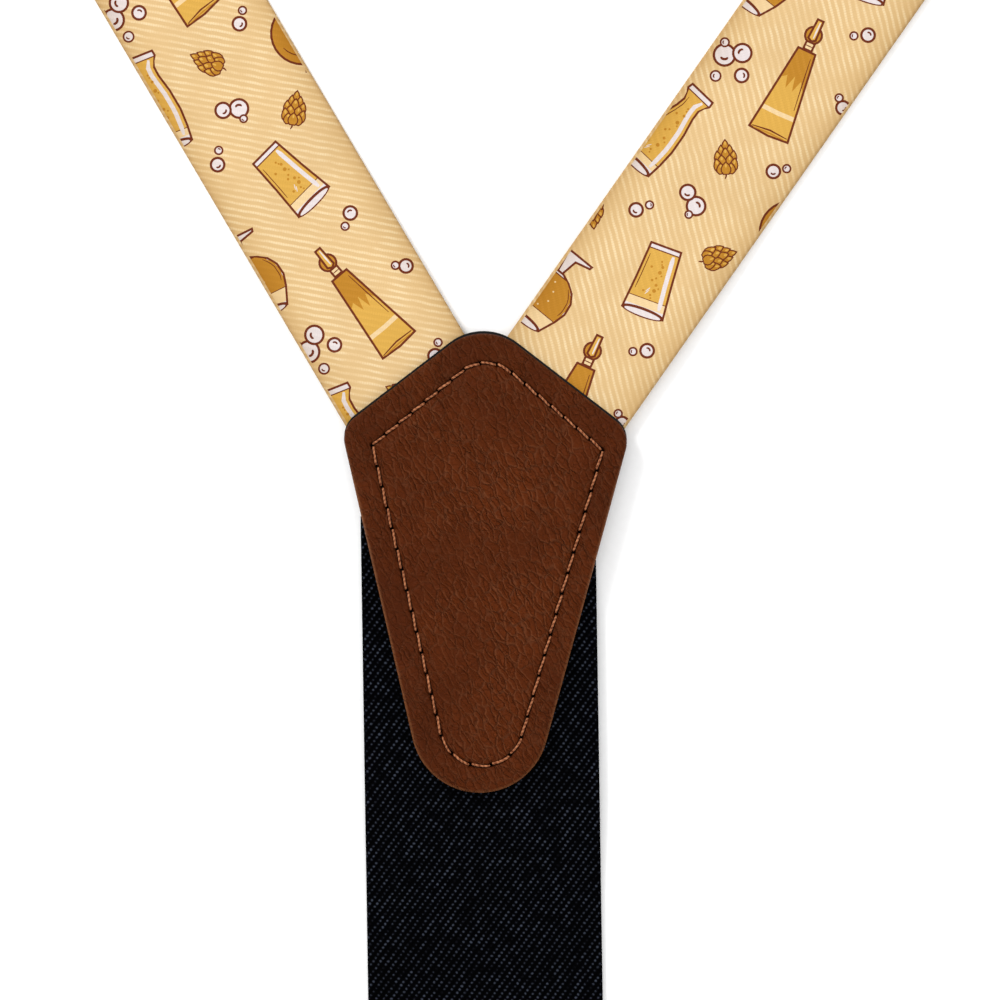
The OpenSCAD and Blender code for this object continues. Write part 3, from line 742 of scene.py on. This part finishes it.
def elastic_webbing():
    """Black elastic, with blue-grey dots where the filling thread shows."""
    sh = Shader("elastic_webbing", IOR=1.45, Specular_IOR_Level=0.02)
    place, u, v = sh.strap_axes()
    wander = sh.noise(place, 0.5, 2.0)
    v_bent = sh.plus(v, sh.times(wander, 0.35))
    wide = sh.wave(u, v_bent, -37.1, 1.05)
    narrow = sh.wave(u, v_bent, 55.0, 0.71)
    dots = sh.times(wide, sh.math("MULTIPLY_ADD", narrow, 0.62, 0.38))
    fine = sh.noise(place, 3.0, 3.0, 0.7)
    patchy = sh.ramp(sh.noise(place, 0.6, 3.0), [(0.3, 0.45), (0.65, 1.0)])
    seen = sh.times(sh.times(dots, patchy), sh.math("MULTIPLY_ADD", fine, 1.2, 0.3))
    tone = sh.ramp(seen, [(0.2, shown(0, 0, 1)), (0.45, shown(9, 10, 16)), (0.8, shown(63, 69, 82))])
    cloud = sh.ramp(sh.noise(place, 0.1, 2.0), [(0.35, 0.75), (0.65, 1.1)])
    tone = sh.mix(1.0, tone, cloud, "MULTIPLY")
    rough = sh.ramp(dots, [(0.0, 0.85), (1.0, 0.6)])
    return sh.finished(tone, rough, (dots, 0.7, 0.12), (fine, 0.4, 0.03))


def leather(name, dark, mid, light, wear_and_painted_light=0.75):
    """Grained leather: pebbles drawn out along a slant, each crease between them with a painted shadow line
    in it and a painted highlight on one side, smaller pebbles with painted shade in their creases, longer
    ridges with a painted highlight, cloudy dye, and what the mesh's wear colour says: a pale rim with a
    painted highlight, painted shade at the seam, and a darker border."""
    sh = Shader(name, IOR=1.45, Specular_IOR_Level=0.06)
    place = sh.place_mm()
    stray = sh.noise(place, 0.6, 2.0, out="Color")
    stray = sh.put("VectorMath", {0: stray, "Scale": 1.25}, operation="SCALE")
    bent = sh.put("VectorMath", {0: place, 1: stray}, operation="ADD")

    def drawn_out(turn, size, shift=0.0):
        """Coordinates turned and stretched, so that a pattern of unit size gets this size."""
        turn = (0, 0, math.radians(turn))
        inputs = {"Vector": bent, "Location": (shift, shift, 0), "Rotation": turn, "Scale": size}
        return sh.put("Mapping", inputs, vector_type="TEXTURE")

    def creases(vector, width):
        """1 on the pebbles and 0 in the creases between them."""
        gap = sh.put("TexVoronoi", {"Vector": vector, "Scale": 1.0}, feature="DISTANCE_TO_EDGE")
        return sh.ramp(gap, [(0.0, 0.0), (width * 0.5, 0.62), (width, 1.0)])

    pebble = (3.1, 1.2, 2.0)
    coarse = creases(drawn_out(-61, pebble), 0.11)
    # A copy of the creases shifted sideways, for a painted highlight on one side of each crease.
    lit_shoulder_painted = creases(drawn_out(-61, pebble, 0.17), 0.11)
    small = creases(drawn_out(-35, (1.2, 0.7, 2.0)), 0.3)
    ridges = sh.noise(drawn_out(-57, (7.0, 1.15, 3.0)), 1.0, 2.0)
    ridges = sh.ramp(ridges, [(0.465, 0.0), (0.5, 1.0), (0.535, 0.0)])
    folded = sh.ramp(sh.noise(place, 0.09, 2.0), [(0.38, 0.4), (0.58, 1.0)])
    ridges = sh.times(ridges, folded)
    grain_places = sh.ramp(sh.noise(place, 0.22, 3.0), [(0.35, 0.35), (0.6, 1.0)])
    fine = sh.noise(place, 3.2, 4.0, 0.7)
    cloud = sh.noise(place, 0.08, 2.0)
    tone = sh.plus(sh.times(cloud, 0.6), sh.times(fine, 0.4))
    colour = sh.ramp(tone, [(0.3, dark), (0.5, mid), (0.7, light)])
    height = sh.plus(sh.times(coarse, 0.4), sh.times(small, 0.3))
    height = sh.times(height, grain_places)
    # Painted shade: the colour darkens in the small creases between the pebbles.
    colour = sh.mix(1.0, colour, sh.ramp(small, [(0.05, 0.9), (0.8, 1.03)]), "MULTIPLY")
    # Painted highlight: the colour turns paler along the long ridges.
    colour = sh.mix(sh.times(ridges, 0.2), colour, shown(134, 66, 30))
    # The wear colour: red is a pale rim with a painted highlight on its lower side, green is painted shade
    # in the needle holes and next to the thread, blue is the border outside the seam.
    split = sh.put("SeparateColor", {0: sh.put("Attribute", out="Color", attribute_name="wear_and_painted_light")}).node
    pale_rim_and_highlight, seam_painted_shade, border = split.outputs[0], split.outputs[1], split.outputs[2]
    marked = sh.times(folded, sh.math("MULTIPLY_ADD", border, -0.35, 1.0))
    # Each crease gets a painted highlight on one side and a painted shadow line in it, like an emboss lit
    # from one side.
    for line, strength, ink in ((lit_shoulder_painted, 0.4, shown(130, 79, 49)), (coarse, 0.4, shown(44, 11, 0))):
        line = sh.times(sh.math("SUBTRACT", 1.0, line), marked)
        colour = sh.mix(sh.times(line, strength), colour, ink)
    height = sh.plus(height, sh.times(ridges, 0.5))
    colour = sh.mix(sh.times(border, 0.14), colour, shown(20, 4, 0))
    pale_rim_and_highlight = sh.times(pale_rim_and_highlight, sh.plus(fine, 0.15))
    colour = sh.mix(sh.times(pale_rim_and_highlight, wear_and_painted_light), colour, shown(160, 104, 66))
    # Painted shade: near black in the needle holes and next to the thread.
    colour = sh.mix(seam_painted_shade, colour, shown(16, 5, 2))
    rough = sh.ramp(sh.plus(fine, height), [(0.3, 0.66), (1.4, 0.45)])
    return sh.finished(colour, rough, (height, 1.0, 0.36), (fine, 0.6, 0.2))


def thread(name, dark, light):
    """Twisted thread: plies that slant along each stitch, paler in places."""
    sh = Shader(name, IOR=1.5, Specular_IOR_Level=0.08)
    place, along, around = sh.strap_axes()
    turns = sh.plus(sh.times(along, 2 * math.pi / 0.75), around)
    turns = sh.plus(turns, sh.times(sh.noise(place, 1.3, 2.0), 6.0))
    ply = sh.math("MULTIPLY_ADD", sh.math("SINE", turns), 0.5, 0.5)
    pale = sh.noise(place, 0.9, 3.0, 0.6)
    tone = sh.plus(sh.times(ply, 0.22), sh.times(pale, 0.8))
    rough = sh.ramp(pale, [(0.3, 0.45), (0.7, 0.7)])
    return sh.finished(sh.ramp(tone, [(0.34, dark), (0.74, light)]), rough, (ply, 0.5, 0.05))


def nickel():
    """Satin nickel plate: fine brushing along the part's width and a trace of tarnish."""
    sh = Shader("nickel", Metallic=1.0, IOR=1.5)
    place = sh.place_mm()
    brush = sh.noise(sh.put("Mapping", {"Vector": place, "Scale": (0.12, 7.0, 7.0)}), 1.0, 3.0, 0.6)
    cloud = sh.noise(place, 0.12, 2.0)
    tone = sh.plus(sh.times(brush, 0.5), sh.times(cloud, 0.5))
    colour = sh.ramp(tone, [(0.3, shown(206, 203, 197)), (0.7, shown(226, 224, 219))])
    rough = sh.ramp(tone, [(0.3, 0.17), (0.7, 0.27)])
    return sh.finished(colour, rough, (brush, 0.08, 0.01))


def plastic(name, colour, light):
    """Matt plastic with a fine grain."""
    sh = Shader(name, IOR=1.46, Specular_IOR_Level=0.2)
    grain = sh.noise(sh.place_mm(), 4.0, 3.0, 0.6)
    rough = sh.ramp(grain, [(0.3, 0.42), (0.7, 0.58)])
    return sh.finished(sh.ramp(grain, [(0.3, colour), (0.7, light)]), rough, (grain, 0.2, 0.03))


webbing_material = printed_webbing()
elastic_material = elastic_webbing()
leather_material = leather("yoke_leather", shown(77, 30, 3), shown(88, 36, 5), shown(102, 44, 9))
backing_material = leather("yoke_backing", shown(62, 33, 20), shown(80, 45, 28), shown(98, 58, 38), wear_and_painted_light=0.2)
underlay_material = plastic("yoke_underlay", shown(6, 6, 7), shown(13, 12, 13))
thread_material = thread("thread", shown(98, 40, 16), shown(212, 140, 96))
dark_thread_material = thread("dark_thread", shown(12, 12, 14), shown(46, 48, 54))
nickel_material = nickel()
grip_material = plastic("grip_plastic", shown(20, 20, 21), shown(34, 34, 36))

# ---------- Front straps ----------

RUN_STEP, TURN_STEP = 3.0, 0.45     # between a strap's rows of points, on its runs and round a bar


def webbing(name, side, path, stations, s0, s1):
    """A stretch of printed strap, from s0 to s1 along its path."""
    shapes = printed(s0, s1, *side["print"], STRAP_W / 2)
    return strip_piece(name, path, s0, s1, stations, STRAP_W, webbing_material, shapes)


for name, side in SIDES.items():
    path, bar = lay_of(side)
    path = joined(path, end_path(path, bar), FRONT_LENGTH - BAR_APPROACH)
    lap_end = path.s[-1]
    tail_start = FRONT_LENGTH + math.pi * (BAR_R + BAR_GAP + STRAP_T / 2) + LOOP_REACH
    stations = np.concatenate([
        np.arange(side["first"], FRONT_LENGTH - 4, RUN_STEP),
        np.arange(FRONT_LENGTH - 3, FRONT_LENGTH + 7, TURN_STEP),
        np.arange(FRONT_LENGTH + 10, lap_end - 26, RUN_STEP),
        np.arange(lap_end - 24, lap_end - 14, TURN_STEP),
        np.arange(lap_end - 14, lap_end, RUN_STEP / 2),
    ])

    strap = webbing(f"webbing_{name}", side, path, stations, side["first"], tail_start)
    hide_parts(f"front_strap_{name}", f"strap_loop_{name}")
    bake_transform(strap)

    tail = webbing(f"webbing_tail_{name}", side, path, stations, tail_start, lap_end)
    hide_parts(f"strap_tail_{name}")
    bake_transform(tail)

# ---------- Elastic ----------

def elastic_path():
    """The elastic from its top end under the yoke down to the back clip's bar, round it and back under
    itself, with the bar's frame."""
    across = np.array([math.cos(BACK_LEAN), math.sin(BACK_LEAN), 0.0])
    down = np.array([math.sin(BACK_LEAN), -math.cos(BACK_LEAN), 0.0])
    bar = (np.array([BACK_X, 0.0, 0.0]) + BACK_LENGTH * down, BACK_LEAN)
    mid, lap = STRAP_T / 2, STRAP_T + LAYER_GAP
    y = np.concatenate([np.arange(BACK_LENGTH + BACK_TOP, 40, -4.0), np.arange(40, 2, -1.5), [2.0, 0.6]])
    on_patch = BACKING_T * smooth((y - BACK_LENGTH + 60) / 22)
    onto_fold = lap * (1 - smooth((y - BACK_FOLD - 2) / 26))
    onto_bar = lap + (DECK_Z - lap) * (1 - smooth((y - 3) / 12))
    z = np.where(y > BACK_LENGTH - 60, on_patch, np.where(y > BACK_FOLD, onto_fold, onto_bar)) + mid
    angle = np.arctan2(np.gradient(z), -np.gradient(y))
    points = list(zip(y, z, angle))
    points += arc(0, LOOP_Z, BAR_R + BAR_GAP + mid, 0, -180)
    points += [(d, mid, -math.pi) for d in (3, 8, 14, 20, BACK_FOLD)]
    return profile_path(points, 0.0, bar, across), bar


path, bar = elastic_path()
stations = np.concatenate([np.arange(0, path.s[-1] - 70, 5.0), np.arange(path.s[-1] - 70, path.s[-1], 0.6)])
elastic = strip_piece("elastic_back", path, 0.0, path.s[-1], stations, ELASTIC_W, elastic_material)
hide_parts("back_strap", "back_strap_loop")
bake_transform(elastic)

# ---------- Yoke ----------

# Round corners of the yoke's rim and of its seam, anticlockwise from the top: x, y and radius
RIM = [(-0.9, 29.1, 9.4), (-19.9, 20.2, 4.5), (-0.3, -27.9, 11.7), (19.2, 20.4, 4.5)]
SEAM = [(-0.4, 27.0, 6.5), (-19.25, 19.0, 0.3), (0, -27.9, 7.1), (19.25, 19.0, 0.3)]
STITCHES, TOP_STITCHES = 50, 17     # the seam's two straight upper sides and apex take the first 17
PITCH = 3.4                         # length of a stitch
SEAM_DEPTH = 4.4                    # the seam lies this far inside the rim
LEATHER_Z = BACKING_T + STRAP_T + UNDERLAY_T + LAYER_GAP


def leaving(corners, i):
    """The outward direction of the straight line after a round corner."""
    (x0, y0, r0), (x1, y1, r1) = corners[i % 4], corners[(i + 1) % 4]
    return math.atan2(y1 - y0, x1 - x0) - math.acos((r0 - r1) / math.hypot(x1 - x0, y1 - y0))


def stretch(corners, k, share):
    """Points and outward directions at shares of one stretch of the band round four circles: the even
    stretches are the round corners, the odd ones the straight lines after them."""
    i = k // 2
    x, y, r = corners[i]
    a1 = leaving(corners, i)
    if k % 2 == 0:
        a0 = leaving(corners, i + 3)
        a = a0 + ((a1 - a0) % (2 * math.pi)) * share
        return (x, y) + r * pointing(a), a
    x1, y1, r1 = corners[(i + 1) % 4]
    n = np.array([math.cos(a1), math.sin(a1)])
    start, end = np.array([x, y]) + r * n, np.array([x1, y1]) + r1 * n
    return start + (end - start) * share[:, None], a1 + 0 * share


def seam_places():
    """Places round the seam, each with its rim point and direction, seam point and direction, and distance
    along the seam counted in stitches from the right shoulder. Each stitch has the same few places, one of
    them on its needle hole; the round corners have more."""
    fine = np.linspace(0, 1, 40)
    lengths = [far_along(stretch(SEAM, k, fine)[0])[-1] for k in range(8)]
    ends = np.cumsum(lengths)
    total, right = ends[-1], ends[6] - lengths[6] / 2
    far = [0, (ends[2] - lengths[2] / 2 - right) % total, total]
    counted = [0, TOP_STITCHES, STITCHES]
    shares = np.array([-0.15, -0.07, 0, 0.07, 0.15, 0.33, 0.5, 0.67])
    wanted = (np.arange(STITCHES)[:, None] + shares).ravel() % STITCHES
    wanted = (right + np.interp(wanted, counted, far)) % total
    rows = []
    for k in range(8):
        first = ends[k] - lengths[k]
        share = (wanted[(wanted >= first) & (wanted < ends[k])] - first) / lengths[k]
        if k % 2 == 0:
            share = np.append(share, (np.arange(14) + 0.5) / 14)
        share = np.sort(share)
        rim, rim_a = stretch(RIM, k, share)
        seam, seam_a = stretch(SEAM, k, share)
        stitch = np.interp((first + share * lengths[k] - right) % total, far, counted)
        rows.append(np.column_stack([rim, rim_a, seam, seam_a, stitch]))
    return np.concatenate(rows)


PLACES = seam_places()
SEAM_OUT = pointing(PLACES[:, 5])


def outline(inset):
    """A ring of the yoke at this distance inside its rim, which turns from the rim's shape to the seam's."""
    from_rim = PLACES[:, :2] - inset * pointing(PLACES[:, 2])
    from_seam = PLACES[:, 3:5] + (SEAM_DEPTH - inset) * SEAM_OUT
    share = smooth(inset / SEAM_DEPTH)
    return from_rim + (from_seam - from_rim) * share


def on_yoke(points):
    """Points of the upright yoke turned to its lean."""
    c, s = math.cos(YOKE_LEAN), math.sin(YOKE_LEAN)
    p = np.array(points, float)
    p[:, :2] = p[:, :2] @ np.array([[c, s], [-s, c]])
    return p


def swell(xy):
    """The leather's gentle unevenness over what lies beneath it."""
    x, y = xy[:, 0], xy[:, 1]
    return 0.10 * np.sin(0.21 * x + 0.5) * np.cos(0.17 * y) + 0.07 * np.sin(0.33 * y - 0.2 * x)


def skin(rings, count):
    """The faces of a closed body made of rings of this many points."""
    faces = [list(range(count))[::-1]]
    for k in range(0, (rings - 1) * count, count):
        for i in range(count):
            j = (i + 1) % count
            faces.append([k + i, k + j, k + count + j, k + count + i])
    return faces + [[(rings - 1) * count + i for i in range(count)]]


def leather_patch():
    """The yoke's leather with its rounded rim, sunken seam and needle holes. Its wear colour says where the
    rim shows a pale cut edge, with a painted highlight that makes it paler on the lower side (red), where
    painted shade darkens the needle holes and the leather next to the thread (green), and what lies outside
    the seam (blue)."""
    off_hole = np.abs((PLACES[:, 6] + 0.5) % 1 - 0.5) * PITCH
    top = LEATHER_Z + LEATHER_T
    levels = [  # inset, drop below the top, paleness of the rim (its cut edge, partly a painted highlight)
        (0.10, LEATHER_T, 0.3), (0.0, LEATHER_T - 0.15, 0.7), (0.0, 0.75, 1.0), (0.03, 0.5, 1.0),
        (0.12, 0.28, 0.95), (0.28, 0.12, 0.4), (0.5, 0.04, 0.0), (0.8, 0.0, 0.0), (1.3, -0.04, 0.0),
        (2.2, -0.08, 0.0), (3.2, -0.06, 0.0), (3.75, 0.02, 0.0), (3.98, 0.10, 0.0), (4.2, 0.22, 0.0),
        (SEAM_DEPTH, 0.26, 0.0),
    ]
    rings, wear_and_painted_light = [], []

    def add_ring(xy, drop, from_seam, worn, outer):
        near = np.hypot(off_hole, from_seam)
        hole = 1 - smooth((near - 0.2) / 0.3)
        from_rim = smooth((SEAM_DEPTH - 0.8 - from_seam) / 2 if outer else 1)
        rings.append(np.column_stack([xy, top - drop + swell(xy) * from_rim - 0.8 * hole]))
        # Painted shade: dark in the needle holes and in a narrow band next to the thread.
        shade_beside_thread = 0.9 * (1 - smooth((from_seam - 0.16) / 0.3))
        # Painted highlight: the pale rim is made stronger on the yoke's lower side and fades towards its
        # top.
        lower = 0.1 + 0.9 * smooth((22 - xy[:, 1]) / 12)
        one = np.ones_like(hole)
        wear_and_painted_light.append(np.stack([worn * lower, np.maximum(hole, shade_beside_thread), outer * one, one], axis=1))

    for inset, drop, worn in levels:
        add_ring(outline(inset), drop, SEAM_DEPTH - inset, worn, 1.0)
    centre = np.array([0.0, 2.0])
    inwards = centre - PLACES[:, 3:5]
    far = np.linalg.norm(inwards, axis=1)
    slope = -(inwards * SEAM_OUT).sum(axis=1) / far
    for from_seam, drop in ((0.2, 0.22), (0.42, 0.10), (0.65, 0.02), (1.1, -0.05)):
        add_ring(PLACES[:, 3:5] + inwards * (from_seam / (far * slope))[:, None], drop, from_seam, 0.0, 0.0)
    last = rings[-1][:, :2]
    for share in (0.08, 0.18, 0.3, 0.44, 0.6, 0.76, 0.9):
        add_ring(last + (centre - last) * share, -0.12, 5.0, 0.0, 0.0)
    faces = skin(len(rings), len(PLACES))
    piece = new_piece("yoke_patch", on_yoke(np.concatenate(rings)), faces, leather_material)
    give(piece.data, "wear_and_painted_light", "POINT", np.concatenate(wear_and_painted_light))
    return piece


def tube(points, radius, sides=10):
    """Points, faces and (distance, angle) of a closed round tube along a line."""
    points = np.asarray(points, float)
    along = unit(np.gradient(points, axis=0))
    flat = unit(np.cross(along, (0, 0, 1)))
    up = np.cross(flat, along)
    a = np.arange(sides) * 2 * math.pi / sides - math.pi / 2
    spokes = np.cos(a)[:, None] * flat[:, None] + np.sin(a)[:, None] * up[:, None]
    rings = points[:, None] + radius * spokes
    faces = [face[:1] + face[:0:-1] for face in skin(len(points), sides)]
    local = np.stack(np.broadcast_arrays(far_along(points)[:, None], a[None], 0.0), axis=2)
    return rings.reshape(-1, 3), faces, local.reshape(-1, 3)


def gathered(name, parts, material):
    """One piece made of many (points, faces, local) parts."""
    points, faces, local, count = [], [], [], 0
    for p, f, m in parts:
        points.append(p)
        faces += [[i + count for i in face] for face in f]
        local.append(m)
        count += len(p)
    return new_piece(name, np.concatenate(points), faces, material, local=np.concatenate(local))


def stitch_line(stitch):
    """Places on the seam, counted in stitches, and the outward direction there."""
    order = np.argsort(PLACES[:, 6])
    counted = PLACES[order, 6]
    p = np.stack([np.interp(stitch, counted, PLACES[order, i], period=STITCHES) for i in (3, 4)], axis=1)
    turn = np.unwrap(PLACES[order, 5])
    turn = np.append(turn, turn[0] + 2 * math.pi)
    a = np.interp(np.mod(stitch, STITCHES), np.append(counted, STITCHES), turn)
    return p, pointing(a)


def stitching():
    """The thread: one arched stitch between each two needle holes, a little slanted and uneven."""
    parts = []
    share = np.linspace(0, 1, 13)
    arch = np.sin(math.pi * np.clip(share, 0.02, 0.98)) ** 0.5
    for k in range(STITCHES):
        xy, outward = stitch_line(k + 0.08 + 0.84 * share)
        slant = 0.26 * (share - 0.5) + 0.03 * math.sin(7.0 * k)
        xy = xy + slant[:, None] * outward
        z = LEATHER_Z + LEATHER_T - 0.55 + 0.55 * arch + swell(xy)
        line = on_yoke(np.column_stack([xy, z]))
        points, faces, local = tube(line, 0.2 + 0.015 * math.sin(3.0 * k))
        parts.append((points, faces, local + [k * 5.3, 0, 0]))
    return gathered("yoke_thread", parts, thread_material)


patch = leather_patch()
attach(patch, "yoke")
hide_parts("yoke_leather")
seam = stitching()
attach(seam, "yoke")
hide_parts("yoke_stitching")

# ---------- CAD parts that keep their shape ----------

def finish_node(name, material, bevel_mm=0.0):
    """Gives a CAD node its material and soft edges."""
    node = nodes[name]
    for slot in node.material_slots or [None]:
        if slot is None:
            node.data.materials.append(material)
        else:
            slot.material = material
    if bevel_mm:
        bevel = node.modifiers.new("soft_edges", "BEVEL")
        bevel.width, bevel.segments = bevel_mm * MM, 3
        bevel.limit_method, bevel.angle_limit = "ANGLE", math.radians(35)
        bevel.harden_normals = True


# The nickel parts and the width of their soft edges
METAL = {
    "adjuster_frame": 0.22, "adjuster_lever": 0.25, "adjuster_pin": 0.12, "clip_base": 0.22,
    "clip_rivets": 0.15, "clip_jaw_pin": 0.12, "clip_lever": 0.25, "clip_jaw": 0.2,
}
for name in nodes:
    kind = name.rsplit("_", 1)[0]
    if kind in METAL:
        finish_node(name, nickel_material, METAL[kind])
    elif kind in ("clip_lower_pad", "clip_upper_pad"):
        finish_node(name, grip_material, 0.12)
finish_node("yoke_underlay", underlay_material, 0.08)
finish_node("yoke_backing", backing_material, 0.3)
finish_node("back_bartack", dark_thread_material)

# ---------- Camera, light and floor ----------

VIEW_CENTRE, VIEW_WIDTH = (2.55, 10.2), 170.1
LENS, SENSOR = 200.0, 36.0
camera_data = bpy.data.cameras.new("camera")
camera_data.lens, camera_data.sensor_width = LENS, SENSOR
camera = add_object("camera", camera_data)
distance = VIEW_WIDTH / 2 / (SENSOR / 2 / LENS)
camera.location = (VIEW_CENTRE[0] * MM, VIEW_CENTRE[1] * MM, (distance + 3) * MM)
camera_data.clip_start, camera_data.clip_end = 0.05, 10
bpy.context.scene.camera = camera

scene = bpy.context.scene
scene.view_settings.view_transform = "Standard"
scene.view_settings.look = "None"

# A white studio that sends more light from above than from below
world = bpy.data.worlds.new("studio")
world.use_nodes = True
backdrop = world.node_tree.nodes["Background"]
backdrop.inputs["Strength"].default_value = 1.0
height = world.node_tree.nodes.new("ShaderNodeSeparateXYZ")
tint = world.node_tree.nodes.new("ShaderNodeMapRange")
tint.inputs["To Min"].default_value, tint.inputs["To Max"].default_value = 0.6, 1.245
direction = world.node_tree.nodes.new("ShaderNodeTexCoord")
world.node_tree.links.new(direction.outputs["Generated"], height.inputs[0])
world.node_tree.links.new(height.outputs["Z"], tint.inputs["Value"])
world.node_tree.links.new(tint.outputs["Result"], backdrop.inputs["Color"])
scene.world = world


def softbox(name, place, size, power):
    """A round white light that points at the middle of the suspenders."""
    data = bpy.data.lights.new(name, "AREA")
    data.shape, data.size, data.energy = "DISK", size, power
    light = add_object(name, data)
    light.location = place
    light.rotation_euler = (Vector((0, -0.08, 0)) - Vector(place)).to_track_quat("-Z", "Y").to_euler()


softbox("key_upper_left", (-1.1, 1.2, 1.1), 0.6, 24.5)
softbox("fill_right", (1.3, -0.5, 1.2), 1.0, 4.3)

floor_mesh = bpy.data.meshes.new("floor")
floor_mesh.from_pydata([(-4, -4, -1e-4), (4, -4, -1e-4), (4, 4, -1e-4), (-4, 4, -1e-4)], [], [(0, 1, 2, 3)])
floor = add_object("floor", floor_mesh)
paper = Shader("white_paper", Roughness=0.9, IOR=1.4)
fibres = paper.noise(paper.put("TexCoord", out="Object"), 900.0, 3.0)
floor_mesh.materials.append(paper.finished(paper.ramp(fibres, [(0.3, 0.93), (0.7, 0.95)])))
